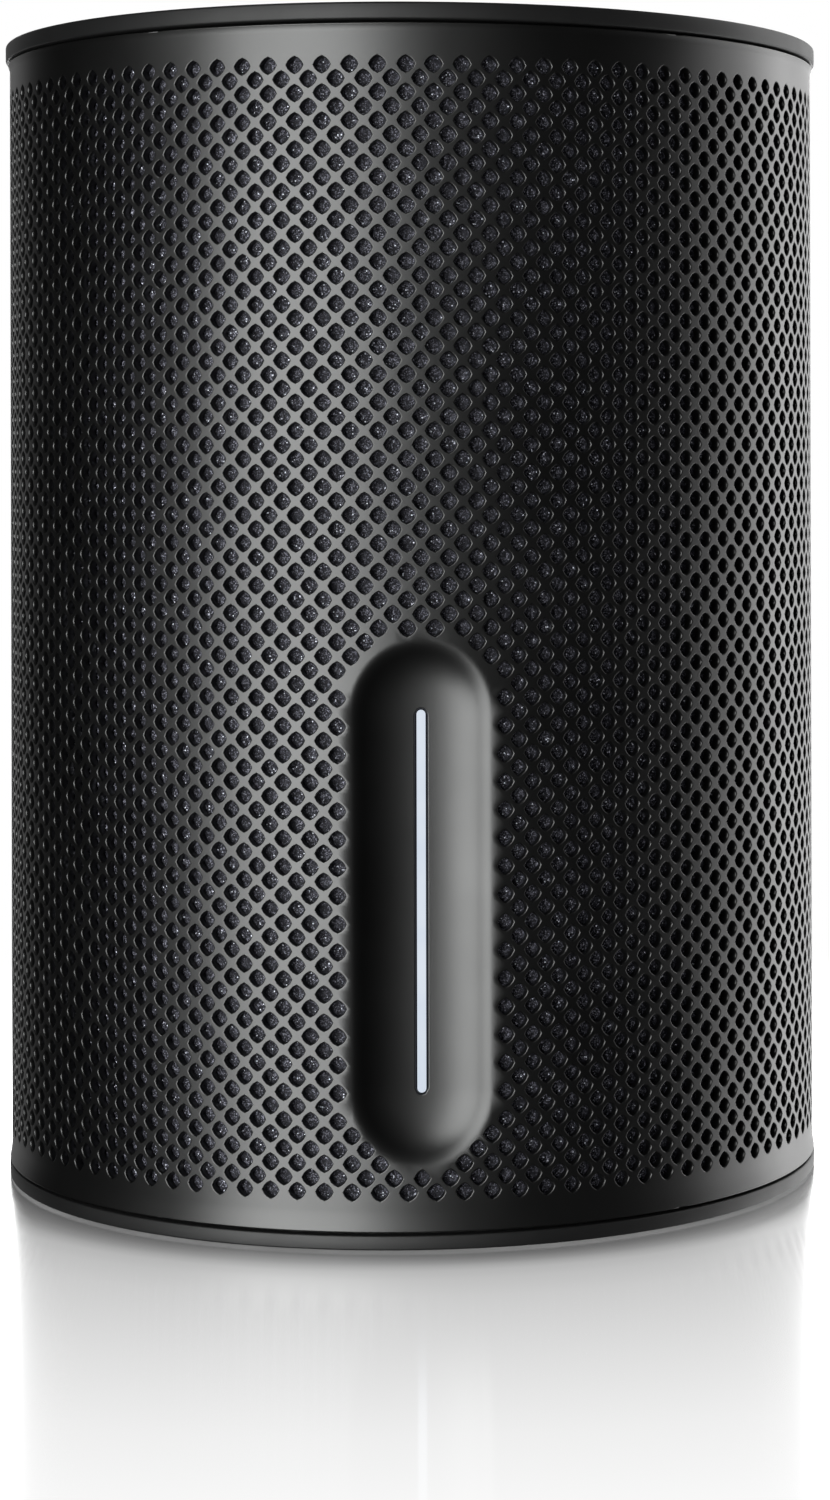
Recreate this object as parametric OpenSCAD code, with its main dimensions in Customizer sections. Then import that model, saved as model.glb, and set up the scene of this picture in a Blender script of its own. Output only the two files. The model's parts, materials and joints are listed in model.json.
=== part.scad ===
// Upright smart home hub: a round perforated shell over a speaker and a radio board,
// with a lit bar in a finger-wide groove at the front and a connector bay at the back.
// The origin is on the table under the middle of the hub, +Z is up, and the groove faces -Y.

/* [Overall] */
// Outside diameter of the perforated shell
body_d = 120; // [118:1:150]
// Height from the table to the top of the cap
body_h = 167; // [164:1:210]

/* [Shell] */
// Wall of the perforated shell
shell_t = 1.2; // [0.8:0.1:2]
// How far both ends of the shell flare out
lip_flare = 0.3; // [0:0.1:1]
// Height of the flared stretch at the bottom of the shell
lip_low_h = 2.5; // [1:0.5:6]
// Height of the flared stretch at the top of the shell
lip_top_h = 1; // [0.5:0.5:4]
// Thickness of the foam sleeve behind the shell
foam_t = 3; // [2:0.5:5]

/* [Cap and base] */
// Thickness of the flat top cap
cap_t = 2.4; // [1.6:0.1:5]
// How far the cap stands out past the shell
cap_overhang = 0.6; // [0:0.1:2]
// Shadow gap between the shell and the cap
cap_gap = 0.35; // [0.2:0.05:1]
// Thickness of the ring under the shell
base_ring_t = 2; // [1.2:0.1:4]
// How far the base ring stands out past the shell
base_overhang = 0.3; // [0:0.1:1.5]
// Shadow gap between the base ring and the shell
base_gap = 0.4; // [0.2:0.05:1]
// How far the rubber foot stands out below the base
foot_proud = 0.3; // [0.2:0.1:2]

/* [Light groove] */
// Width of the groove where it meets the shell
groove_w = 18; // [14:0.2:26]
// Height of the groove
groove_h = 69.5; // [62:0.5:80]
// Height of the groove's middle above the table
groove_mid_z = 46.5; // [42:0.5:60]
// Depth of the groove at its middle
groove_depth = 2.8; // [2.4:0.1:5]
// Wall behind the groove
groove_wall = 1.4; // [1:0.1:2]
// Width of the lit bar
bar_w = 1.2; // [0.8:0.1:3]
// Height of the lit bar
bar_h = 51.4; // [30:0.2:56]
// Gap round the lit bar
bar_gap = 0.25; // [0.1:0.05:0.5]

/* [Connector bay] */
// Width of the bay's window in the shell
bay_w = 61; // [58:0.5:64]
// Height of the window's lower edge
bay_low = 9.8; // [9:0.1:12]
// Height of the window's upper edge
bay_high = 30.6; // [30:0.1:36]
// How far the connector face lies behind the front of the shell
bay_depth = 9; // [8:0.5:10]
// Wall of the connector panel
panel_t = 1.5; // [1.2:0.1:2.5]
// Travel of the pairing button
pair_travel = 0.5; // [0.25:0.05:1]
// Travel of the reset switch's plunger
reset_travel = 0.3; // [0.2:0.05:0.6]

/* [Speaker] */
// Radius of the speaker's mounting flange
driver_r = 38; // [34:0.5:40]
// Radius of the voice coil's inside
coil_r = 10; // [8:0.5:12]
// How far the cone travels each way
cone_travel = 2; // [1:0.25:2.5]

/* [Hidden] */
$fn = 96;

// Clearances
slip = 0.2;            // between covers that slide over each other
touch_gap = 0.1;       // between pieces that are pressed together
screw_play = 0.05;     // round a screw's thread
cut = 1;               // how far a cutting shape runs past the face it opens

// Heights from the table up
ring_z = foot_proud;
ring_top = ring_z + base_ring_t;
shell_z = ring_top + base_gap;
cap_z = body_h - cap_t;
shell_top = cap_z - cap_gap;
base_flange_t = 2.7;
floor_z = ring_top + base_flange_t;
hem_t = 1.5;
frame_ring_t = 3;
frame_z = floor_z;
frame_low = frame_z + frame_ring_t;
frame_rise = 81;                             // the frame's lower face to the speaker's chamber
chamber_z = frame_z + frame_rise + frame_ring_t;
spigot_h = 4.4;
top_frame_t = 2.5;
top_frame_z = cap_z - 6.6;
baffle_t = 3;
deflector_room = 15;                         // from the baffle up to the top frame
baffle_top = top_frame_z - deflector_room;
baffle_z = baffle_top - baffle_t;

// Radii from the shell inwards
shell_r = body_d / 2;
shell_in = shell_r - shell_t;
foam_r = shell_in - 0.3;
foam_in = foam_r - foam_t;
frame_r = foam_in - 1.1;
frame_in = frame_r - 11;
chamber_r = frame_r - 2.4;
chamber_t = 2.5;
ring_in = shell_r - 6;
cap_r = shell_r + cap_overhang;

// The groove is a ball-ended trough, so its radius follows from its width and its depth.
groove_edge_y = sqrt(shell_r * shell_r - groove_w * groove_w / 4);
groove_drop = groove_edge_y - (shell_r - groove_depth);
groove_r = (groove_w * groove_w / 4 + groove_drop * groove_drop) / (2 * groove_drop);
groove_y = -(shell_r - groove_depth + groove_r);
groove_end = groove_h / 2 - sqrt(groove_r * groove_r - pow(groove_r - groove_depth, 2));
groove_floor_y = -(shell_r - groove_depth);
groove_back_y = groove_floor_y + groove_wall;

// The lit bar's carrier, from the groove's back wall inwards
bar_flange_w = 4;
bar_flange_t = 1.5;
bar_flange_y = groove_back_y + touch_gap;
bar_back_y = bar_flange_y + bar_flange_t + 1.8;
led_t = 0.8;
led_w = 2.8;
led_count = 8;
led_board_y = bar_back_y + touch_gap + led_t;
board_t = 1.6;
led_board_w = 7;
carrier_w = 12;
carrier_h = bar_h + 12;
carrier_plate_t = 2;
carrier_plate_w = 34;
rail_x = 14;
rail_w = 6;
rail_y = led_board_y + board_t + carrier_plate_t;
carrier_y = rail_y - carrier_plate_t;

// The frame's posts
side_post_w = 7;
side_post_d = 8;
side_post_x = frame_r - 1.1 - side_post_w;
rear_post_w = 5;
rear_post_turn = 44.5;                       // round from the X axis
rear_post_at = frame_in + 0.6 * rear_post_w;
rear_post_x = rear_post_at * cos(rear_post_turn);
rear_post_y = rear_post_at * sin(rear_post_turn) - rear_post_w / 2;
post_h = frame_rise - frame_ring_t;

// The upright main board, screwed to the side posts
main_y = side_post_d / 2;
main_w = 2 * (side_post_x + 5);
main_z = 14;
main_h = 68;
main_back = main_y + board_t;

// The processor's stack
chip_w = 18;
chip_t = 1.2;
chip_z = main_z + 44;
pad_t = 0.5;
sink_w = 44;
sink_h = 42;
sink_base_t = 2.7;
sink_fin_t = 1.6;
sink_fin_h = 15;
sink_fins = 8;
sink_y = main_back + chip_t + pad_t;

// The flat input and output board
io_z = 11;
io_y0 = 2;
io_w = 58;
io_top = io_z + board_t;
boss_r = 3;
boss_x = 22;
boss_y0 = 9.5;
boss_y1 = 24;
panel_face_y = shell_r - bay_depth;
panel_back_y = panel_face_y - panel_t;
port_front_y = panel_face_y + 0.3;
io_y1 = panel_back_y - 1;

jack_w = 16;
jack_h = 13.5;
jack_l = 21;
jack_x = -18;
jack_hole_w = 11.9;
jack_hole_h = 8.2;
jack_hole_l = 15;
usb_w = 14.4;
usb_h = 7;
usb_l = 16;
usb_x = 3;
power_w = 8.94;
power_h = 3.26;
power_l = 8;
power_x = 20.5;

// The buttons, side by side above the small ports
pair_x = 20.5;
pair_z = io_top + 10.5;
pair_r = 3.5;
reset_x = 6;
reset_z = io_top + 12;
switch_w = 6;
switch_t = 3.6;
button_board_y = panel_back_y - 9;
button_board_w = 26;
switch_y = button_board_y + board_t;
plunger_r = 1.75;
pair_flange_t = 1.1;
pair_back_y = panel_back_y - touch_gap - pair_flange_t;

// The speaker, from the baffle's top down
flange_t = 2.5;
gasket_t = 0.6;
flange_z = baffle_top + gasket_t;
basket_neck_r = coil_r + 10;
basket_drop = 19;
plate_z = flange_z - basket_drop;
top_plate_t = 4;
magnet_t = 10;
yoke_t = 4;
magnet_r = coil_r + 14;
coil_t = 0.9;
gap_in = 0.6;
top_plate_in = coil_r + coil_t + 0.7;
cone_r = driver_r - 11;
surround_r = driver_r - 6;
spider_z = plate_z + cone_travel + slip;
spider_t = 0.5;
cone_neck_z = spider_z + 3.3;
cone_rim_z = flange_z - 0.2;
cone_t = 0.7;
baffle_hole_r = driver_r - 5;

mic_board_z = top_frame_z + top_frame_t + 1;
mic_r = 44;

screw_r = 1.5;
screw_head_r = 2.9;
screw_head_t = 1.8;

module ring(r_out, r_in, h) {
    difference() {
        cylinder(r = r_out, h = h);
        translate([0, 0, -cut]) cylinder(r = r_in, h = h + 2 * cut);
    }
}

// A box given by its middle in X, its nearest face in Y and its lowest face in Z
module block(x, y, z, w, d, h) {
    translate([x - w / 2, y, z]) cube([w, d, h]);
}

// A trough-shaped cutter that stands upright, with ball ends
module trough(r) {
    translate([0, groove_y, groove_mid_z]) {
        translate([0, 0, -groove_end]) cylinder(r = r, h = 2 * groove_end);
        for (side = [-1, 1]) translate([0, 0, side * groove_end]) sphere(r = r);
    }
}

// An upright flat bar with round ends, running from y0 to y1
module round_bar(w, h, y0, y1) {
    straight = h - w;
    translate([0, y1, groove_mid_z]) rotate([90, 0, 0]) linear_extrude(y1 - y0) {
        square([w, straight], center = true);
        for (side = [-1, 1]) translate([0, side * straight / 2]) circle(d = w);
    }
}

// A flat slot with round ends, as a connector's outline, running along Y
module pill(x, z, w, h, y0, y1) {
    straight = w - h;
    translate([x, y1, z]) rotate([90, 0, 0]) linear_extrude(y1 - y0) {
        square([straight, h], center = true);
        for (side = [-1, 1]) translate([side * straight / 2, 0]) circle(d = h);
    }
}

module rod_y(x, z, r, y0, y1) {
    translate([x, y1, z]) rotate([90, 0, 0]) cylinder(r = r, h = y1 - y0);
}

// A pan-headed screw whose tip points down from the head's seat
module screw(length) {
    cylinder(r = screw_head_r, h = screw_head_t);
    translate([0, 0, -length]) cylinder(r = screw_r, h = length + 0.1);
}

module pilot(length) {
    translate([0, 0, -length]) cylinder(r = screw_r + screw_play, h = length + cut);
}

// A lead that runs straight between points, with round bends
module lead(points, r) {
    $fn = 10;
    for (i = [0 : len(points) - 2]) {
        run = points[i + 1] - points[i];
        tilt = acos(run[2] / norm(run));
        turn = atan2(run[1], run[0]);
        translate(points[i]) rotate([0, tilt, turn]) cylinder(r = r, h = norm(run));
    }
    for (i = [1 : len(points) - 2]) translate(points[i]) sphere(r = r);
}

function on_circle(r, a) = [r * cos(a), r * sin(a), 0];
function frame_screw_spots() = [
    [side_post_x + side_post_w / 2, 0, 0],
    [-side_post_x - side_post_w / 2, 0, 0],
    [rail_x, rail_y + rail_w / 2, 0],
    [-rail_x, rail_y + rail_w / 2, 0]
];
function main_screw_spots() = [
    for (side = [-1, 1], z = [main_z + 8, main_z + main_h - 8]) [side * (side_post_x + 2.5), main_back, z]
];
function io_screw_spots() = [for (x = [-boss_x, boss_x], y = [boss_y0, boss_y1]) [x, y, io_top]];
function carrier_screw_spots() = [
    for (side = [-1, 1], z = [-1, 1]) [side * rail_x, carrier_y, groove_mid_z + z * (carrier_h / 2 - 8)]
];
driver_screw_r = driver_r - 2.8;
baffle_screw_r = chamber_r - chamber_t - 1.4;

// Outer covers

module shell_form() {
    translate([0, 0, shell_z]) {
        cylinder(r = shell_r, h = shell_top - shell_z);
        cylinder(r1 = shell_r + lip_flare, r2 = shell_r, h = lip_low_h);
    }
    translate([0, 0, shell_top - lip_top_h])
        cylinder(r1 = shell_r, r2 = shell_r + lip_flare, h = lip_top_h);
}

// The hollow leaves a hem that rests on the base plate, and the wall behind the groove
module shell_hollow() {
    translate([0, 0, shell_z - cut]) cylinder(r = shell_in, h = floor_z - shell_z + cut);
    difference() {
        union() {
            translate([0, 0, shell_z - cut]) cylinder(r = foam_in, h = body_h);
            translate([0, 0, floor_z + hem_t]) cylinder(r = shell_in, h = body_h);
        }
        trough(groove_r + groove_wall);
    }
}

module perforated_shell() {
    color([0.06, 0.06, 0.065]) difference() {
        difference() {
            shell_form();
            trough(groove_r);
        }
        shell_hollow();
        round_bar(bar_w + 2 * bar_gap, bar_h + 2 * bar_gap, groove_floor_y - cut, groove_back_y + cut);
        block(0, 0, bay_low, bay_w, body_d, bay_high - bay_low);
    }
}

module top_cap() {
    edge = 0.4;
    color([0.07, 0.07, 0.075]) union() {
        rotate_extrude() polygon([
            [0, cap_z],
            [cap_r - edge / 2, cap_z],
            [cap_r, cap_z + edge / 2],
            [cap_r, body_h - edge],
            [cap_r - edge, body_h],
            [0, body_h]
        ]);
        translate([0, 0, cap_z - spigot_h]) ring(shell_in - slip, shell_in - slip - 2, spigot_h);
    }
}

module cap_seal() {
    seal_z = top_frame_z + top_frame_t;
    color([0.02, 0.02, 0.02]) difference() {
        translate([0, 0, seal_z]) ring(frame_r, frame_r - 2.4, cap_z - seal_z);
        block(0, ribbon_y - 2, seal_z - cut, ribbon_w + 1, 5, mic_board_z - seal_z + cut + 0.3);
    }
}

module base_ring() {
    edge = 0.3;
    color([0.07, 0.07, 0.075]) rotate_extrude() polygon([
        [ring_in, ring_z],
        [shell_r + base_overhang - edge, ring_z],
        [shell_r + base_overhang, ring_z + edge],
        [shell_r + base_overhang, ring_top],
        [ring_in, ring_top]
    ]);
}

foot_in = ring_in - 12.5;
foot_out = ring_in - 1.2;
foot_t = 1.5;

module base_plate() {
    color([0.09, 0.09, 0.09]) difference() {
        union() {
            translate([0, 0, ring_z]) cylinder(r = ring_in - touch_gap, h = base_ring_t);
            translate([0, 0, ring_top]) cylinder(r = shell_in - slip, h = base_flange_t);
            for (x = [-boss_x, boss_x], y = [boss_y0, boss_y1])
                translate([x, y, floor_z]) cylinder(r = boss_r, h = io_z - floor_z);
        }
        translate([0, 0, ring_z - cut])
            ring(foot_out + touch_gap, foot_in - touch_gap, cut + foot_t - foot_proud);
        for (spot = frame_screw_spots()) translate([spot[0], spot[1], 0]) {
            cylinder(r = screw_head_r + touch_gap, h = foot_t + screw_head_t);
            cylinder(r = screw_r + slip, h = floor_z + cut);
        }
        for (spot = io_screw_spots()) translate(spot) pilot(io_top - ring_top);
        // Cooling slots
        for (i = [-3 : 3]) translate([i * 6, 0, 0]) {
            translate([0, -24, -cut]) linear_extrude(floor_z + 2 * cut) {
                square([2.4, 16], center = true);
                for (end = [-8, 8]) translate([0, end]) circle(d = 2.4);
            }
        }
    }
}

module rubber_foot() {
    color([0.03, 0.03, 0.03]) ring(foot_out, foot_in, foot_t);
}

module ballast_plate() {
    color("silver") difference() {
        translate([0, 0, floor_z]) cylinder(r = frame_in - 1, h = frame_ring_t);
        for (spot = io_screw_spots()) translate([spot[0], spot[1], 0])
            cylinder(r = boss_r + slip, h = floor_z + frame_ring_t + cut);
        block(0, -33.5, floor_z - cut, 42, 19, frame_ring_t + 2 * cut);
    }
}

module foam_sleeve() {
    foam_z = floor_z + hem_t;
    color([0.03, 0.03, 0.035]) difference() {
        translate([0, 0, foam_z]) ring(foam_r, foam_in, cap_z - spigot_h - foam_z - slip);
        trough(groove_r + groove_wall + slip);
        block(0, -shell_r, groove_mid_z - carrier_h / 2 - slip, carrier_w + 2 * slip, shell_r / 2,
              carrier_h + 2 * slip);
        block(0, 0, bay_low - slip, bay_w + 2 * slip, body_d, bay_high - bay_low + 2 * slip);
    }
}

// The frame that carries everything inside

module core_frame() {
    color([0.12, 0.12, 0.12]) difference() {
        union() {
            translate([0, 0, frame_z]) ring(frame_r, frame_in, frame_ring_t);
            translate([0, 0, chamber_z - frame_ring_t]) ring(frame_r, frame_in, frame_ring_t);
            for (side = [-1, 1]) {
                block(side * (side_post_x + side_post_w / 2), -side_post_d / 2, frame_low, side_post_w,
                      side_post_d, post_h);
                block(side * rail_x, rail_y, frame_low, rail_w, rail_w, post_h);
                block(side * rear_post_x, rear_post_y, frame_low, rear_post_w, rear_post_w, post_h);
            }
        }
        for (spot = frame_screw_spots()) translate([spot[0], spot[1], frame_z + 10]) pilot(10 + cut);
        for (spot = main_screw_spots()) translate(spot) rotate([-90, 0, 0]) pilot(9);
        for (spot = carrier_screw_spots()) translate(spot) rotate([90, 0, 0]) pilot(carrier_plate_t + 6);
        for (spot = chamber_screw_spots()) translate([spot[0], spot[1], chamber_z]) pilot(frame_ring_t + cut);
        // Notches for the flat cable at the back and the speaker's wires
        block(0, ribbon_y - 1, chamber_z - frame_ring_t - cut, ribbon_w + 2, 5, frame_ring_t + 2 * cut);
        translate([wire_x, wire_y, chamber_z - frame_ring_t - cut])
            cylinder(r = 4, h = frame_ring_t + 2 * cut);
    }
}

function chamber_screw_spots() = [for (a = [45, 135, 225, 315]) on_circle(frame_in + 3, a)];
wire_x = 40;
wire_y = -6;
ribbon_w = 8;
ribbon_t = 0.3;
ribbon_y = chamber_r + 0.4;

// The lit bar

module light_bar() {
    color([0.85, 0.88, 0.92]) union() {
        round_bar(bar_w, bar_h, groove_floor_y, bar_back_y);
        round_bar(bar_flange_w, bar_h + 2.4, bar_flange_y, bar_flange_y + bar_flange_t);
    }
}

module light_carrier() {
    color([0.05, 0.05, 0.05]) difference() {
        union() {
            block(0, groove_back_y - 3, groove_mid_z - carrier_h / 2, carrier_w,
                  carrier_y - groove_back_y + 3 + carrier_plate_t, carrier_h);
            block(0, carrier_y, groove_mid_z - carrier_h / 2, carrier_plate_w, carrier_plate_t, carrier_h);
        }
        trough(groove_r + groove_wall + touch_gap);
        round_bar(bar_flange_w + slip, bar_h + 2.4 + slip, groove_back_y - cut, bar_flange_y + bar_flange_t);
        round_bar(bar_w + 0.1, bar_h + 0.1, bar_flange_y, bar_back_y);
        block(0, bar_back_y, groove_mid_z - bar_h / 2 - 1, led_w + 1, led_board_y - bar_back_y + cut,
              bar_h + 2);
        block(0, led_board_y, groove_mid_z - bar_h / 2 - 3, led_board_w + slip, 10, bar_h + 6);
        for (spot = carrier_screw_spots()) translate([spot[0], carrier_y - cut, spot[2]])
            rotate([-90, 0, 0]) cylinder(r = screw_r + slip, h = carrier_plate_t + 2 * cut);
    }
}

module led_board() {
    color([0.05, 0.2, 0.1])
        block(0, led_board_y, groove_mid_z - bar_h / 2 - 2.9, led_board_w, board_t, bar_h + 5.8);
}

module status_leds() {
    step = (bar_h - 4) / (led_count - 1);
    color("ivory") for (i = [0 : led_count - 1])
        block(0, led_board_y - led_t, groove_mid_z - bar_h / 2 + 2 + i * step - 1.75, led_w, led_t, 3.5);
}

module led_ribbon() {
    low = groove_mid_z - 6;
    color([0.7, 0.45, 0.15]) union() {
        block(0, led_board_y + board_t, low, 6, ribbon_t, 8);
        block(0, led_board_y + board_t, low, 6, main_y - led_board_y - board_t - ribbon_t, ribbon_t);
        block(0, main_y - ribbon_t, low, 6, ribbon_t, 8);
    }
}

module carrier_screws() {
    color("dimgray") for (spot = carrier_screw_spots()) translate(spot)
        rotate([90, 0, 0]) screw(carrier_plate_t + 5.5);
}

// The boards

module main_board() {
    color([0.05, 0.22, 0.12]) difference() {
        block(0, main_y, main_z, main_w, board_t, main_h);
        for (spot = main_screw_spots()) translate([spot[0], main_y - cut, spot[2]])
            rotate([-90, 0, 0]) cylinder(r = screw_r + slip, h = board_t + 2 * cut);
    }
}

module processor() {
    color([0.1, 0.1, 0.1]) block(0, main_back, chip_z - chip_w / 2, chip_w, chip_t, chip_w);
}

module thermal_pad() {
    color([0.45, 0.5, 0.55]) block(0, main_back + chip_t, chip_z - chip_w / 2, chip_w, pad_t, chip_w);
}

module heat_sink() {
    step = (sink_w - sink_fin_t) / (sink_fins - 1);
    color([0.6, 0.6, 0.62]) union() {
        block(0, sink_y, chip_z - sink_h / 2, sink_w, sink_base_t, sink_h);
        for (i = [0 : sink_fins - 1])
            block(-sink_w / 2 + sink_fin_t / 2 + i * step, sink_y, chip_z - sink_h / 2, sink_fin_t,
                  sink_base_t + sink_fin_h, sink_h);
    }
}

module memory_chips() {
    color([0.08, 0.08, 0.08]) for (z = [-7, 7])
        block(15.5, main_back, chip_z + z - 5.5, 9, 1, 11);
}

radio_x = -28;
radio_z = main_z + 50;
radio_w = 26;
radio_can_t = 2.6;

module radio_chip() {
    color([0.1, 0.1, 0.1]) block(radio_x, main_y - 1, radio_z - 4, 8, 1, 8);
}

module radio_shield() {
    sheet = 0.3;
    color("silver") difference() {
        block(radio_x, main_y - radio_can_t, radio_z - radio_w / 2, radio_w, radio_can_t, radio_w);
        block(radio_x, main_y - radio_can_t + sheet, radio_z - radio_w / 2 + sheet, radio_w - 2 * sheet,
              radio_can_t, radio_w - 2 * sheet);
    }
}

module power_parts() {
    coil_z = main_z + 16;
    color([0.25, 0.25, 0.27]) for (i = [0 : 2]) {
        block(-30 + i * 11, main_y - 4, coil_z - 4, 8, 4, 8);
        rod_y(14 + i * 9, coil_z, 3.2, main_y - 7, main_y);
    }
}

module board_connector() {
    color([0.85, 0.83, 0.75]) block(0, main_back, io_top, 36, 5.4, main_z - io_top + 5);
}

module io_board() {
    color([0.05, 0.22, 0.12]) difference() {
        intersection() {
            block(0, io_y0, io_z, io_w, io_y1 - io_y0, board_t);
            cylinder(r = frame_r, h = body_h);
        }
        for (spot = io_screw_spots()) translate([spot[0], spot[1], io_z - cut])
            cylinder(r = screw_r + slip, h = board_t + 2 * cut);
    }
}

module ethernet_jack() {
    hole_z = io_top + 2.4;
    color("silver") difference() {
        block(jack_x, port_front_y - jack_l, io_top, jack_w, jack_l, jack_h);
        block(jack_x, port_front_y - jack_hole_l, hole_z, jack_hole_w, jack_hole_l + cut, jack_hole_h);
    }
}

module ethernet_contacts() {
    top = io_top + 2.4 + jack_hole_h;
    color("gold") for (i = [0 : 7])
        block(jack_x - 3.57 + i * 1.02, port_front_y - 12, top - 1.2, 0.45, 8, 1.2);
}

module usb_port() {
    wall = 0.7;
    color("silver") difference() {
        block(usb_x, port_front_y - usb_l, io_top, usb_w, usb_l, usb_h);
        difference() {
            block(usb_x, port_front_y - usb_l + 2, io_top + wall, usb_w - 2 * wall, usb_l, usb_h - 2 * wall);
            block(usb_x, port_front_y - usb_l, io_top + usb_h - wall - 2.4, usb_w - 2 * wall - 1,
                  usb_l - 1.5, 1.9);
        }
    }
}

module power_port() {
    wall = 0.35;
    mid_z = io_top + power_h / 2;
    color("silver") difference() {
        pill(power_x, mid_z, power_w, power_h, port_front_y - power_l, port_front_y);
        difference() {
            pill(power_x, mid_z, power_w - 2 * wall, power_h - 2 * wall, port_front_y - power_l + 1.5,
                 port_front_y + cut);
            block(power_x, port_front_y - power_l, mid_z - 0.35, 6.6, power_l - 0.8, 0.7);
        }
    }
}

// The connector panel is a tub whose rim fills the window in the shell

module connector_panel() {
    rim = 2;
    rim_w = bay_w - 2 * slip;
    low = bay_low + slip;
    high = bay_high - slip;
    color([0.06, 0.06, 0.06]) difference() {
        union() {
            intersection() {
                block(0, panel_back_y, low, rim_w, bay_depth + panel_t, high - low);
                cylinder(r = shell_r - slip, h = body_h);
            }
            block(0, panel_back_y, frame_low, rim_w - 20, panel_t, low - frame_low + cut);
        }
        block(0, panel_face_y, low + rim, rim_w - 2 * rim, bay_depth + cut, high - low - 2 * rim);
        block(jack_x, panel_back_y - cut, io_top - slip, jack_w + 2 * slip, bay_depth, jack_h + 2 * slip);
        block(usb_x, panel_back_y - cut, io_top - slip, usb_w + 2 * slip, bay_depth, usb_h + 2 * slip);
        pill(power_x, io_top + power_h / 2, power_w + 2 * slip, power_h + 2 * slip, panel_back_y - cut,
             panel_face_y + cut);
        rod_y(pair_x, pair_z, pair_r + slip, panel_back_y - cut, panel_face_y + cut);
        rod_y(reset_x, reset_z, 0.9, panel_back_y - cut, panel_face_y + cut);
    }
}

module button_board() {
    color([0.05, 0.22, 0.12]) difference() {
        block(14, button_board_y, io_top, button_board_w, board_t, 16);
        block(usb_x, button_board_y - cut, io_top - cut, usb_w + 1, board_t + 2 * cut, usb_h + cut + 0.5);
    }
}

module switch_body(x, z) {
    difference() {
        block(x, switch_y, z - switch_w / 2, switch_w, switch_t, switch_w);
        rod_y(x, z, plunger_r + touch_gap, switch_y + 1.2, switch_y + switch_t + cut);
    }
}

module pair_switch() {
    color([0.15, 0.15, 0.15]) switch_body(pair_x, pair_z);
}

module pair_plunger() {
    color([0.7, 0.68, 0.6]) rod_y(pair_x, pair_z, plunger_r, switch_y + 1.3 + pair_travel, pair_back_y);
}

module pair_button() {
    color([0.16, 0.16, 0.17]) union() {
        rod_y(pair_x, pair_z, pair_r, pair_back_y, panel_face_y + 0.6);
        rod_y(pair_x, pair_z, pair_r + 0.9, pair_back_y, pair_back_y + pair_flange_t);
    }
}

module reset_switch() {
    color([0.15, 0.15, 0.15]) switch_body(reset_x, reset_z);
}

module reset_plunger() {
    color([0.7, 0.68, 0.6])
        rod_y(reset_x, reset_z, plunger_r, switch_y + 1.3 + reset_travel, switch_y + switch_t + 1.2);
}

antenna_t = 0.8;
antenna_w = 10;

module antenna_boards() {
    color([0.05, 0.15, 0.3]) for (side = [-1, 1])
        block(side * (side_post_x + side_post_w + antenna_t / 2), -antenna_w / 2, main_z + 34, antenna_t,
              antenna_w, 30);
}

module antenna_leads() {
    lead_r = 0.6;
    board_x = side_post_x + side_post_w + antenna_t / 2;
    edge_y = -antenna_w / 2 - lead_r - 0.1;
    top = main_z + 62;
    color([0.1, 0.1, 0.1]) for (side = [-1, 1])
        lead([
            [radio_x + side * 6, main_y - radio_can_t - lead_r, radio_z + 6],
            [radio_x + side * 6, main_y - radio_can_t - 6, top],
            [side * (side_post_x - 3), edge_y, top],
            [side * board_x, edge_y, top]
        ], lead_r);
}

// The speaker and its chamber

module speaker_enclosure() {
    color([0.1, 0.1, 0.1]) difference() {
        translate([0, 0, chamber_z]) cylinder(r = chamber_r, h = baffle_z - chamber_z - gasket_t);
        translate([0, 0, chamber_z + chamber_t]) cylinder(r = chamber_r - 2 * chamber_t, h = body_h);
        translate([0, 0, chamber_z + chamber_t]) difference() {
            cylinder(r = chamber_r - chamber_t, h = baffle_z - chamber_z - chamber_t - 12);
            for (spot = baffle_screw_spots()) translate([spot[0], spot[1], -cut])
                cylinder(r = 3.6, h = body_h);
        }
        translate([wire_x, wire_y, chamber_z - cut]) cylinder(r = 3 + touch_gap, h = chamber_t + 2 * cut);
        for (spot = chamber_screw_spots()) translate([spot[0], spot[1], chamber_z - cut])
            cylinder(r = screw_r + slip, h = chamber_t + 2 * cut);
        for (spot = baffle_screw_spots()) translate([spot[0], spot[1], baffle_z]) pilot(10);
    }
}

function baffle_screw_spots() = [for (a = [0 : 60 : 300]) on_circle(baffle_screw_r, a)];
function driver_screw_spots() = [for (a = [45, 135, 225, 315]) on_circle(driver_screw_r, a)];

module wire_grommet() {
    color([0.03, 0.03, 0.03]) translate([wire_x, wire_y, chamber_z]) ring(3, 1.6, chamber_t);
}

module enclosure_seal() {
    color([0.02, 0.02, 0.02]) difference() {
        translate([0, 0, baffle_z - gasket_t]) ring(chamber_r, chamber_r - chamber_t * 2, gasket_t);
        for (spot = baffle_screw_spots()) translate([spot[0], spot[1], baffle_z - gasket_t - cut])
            cylinder(r = screw_r + slip, h = gasket_t + 2 * cut);
    }
}

module driver_baffle() {
    color([0.1, 0.1, 0.1]) difference() {
        translate([0, 0, baffle_z]) ring(chamber_r, baffle_hole_r, baffle_t);
        for (spot = baffle_screw_spots()) translate([spot[0], spot[1], baffle_z - cut])
            cylinder(r = screw_r + slip, h = baffle_t + 2 * cut);
        for (spot = driver_screw_spots()) translate([spot[0], spot[1], baffle_top]) pilot(baffle_t + cut);
    }
}

module driver_gasket() {
    color([0.02, 0.02, 0.02]) difference() {
        translate([0, 0, baffle_top]) ring(driver_r, baffle_hole_r, gasket_t);
        for (spot = driver_screw_spots()) translate([spot[0], spot[1], baffle_top - cut])
            cylinder(r = screw_r + slip, h = gasket_t + 2 * cut);
    }
}

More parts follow.
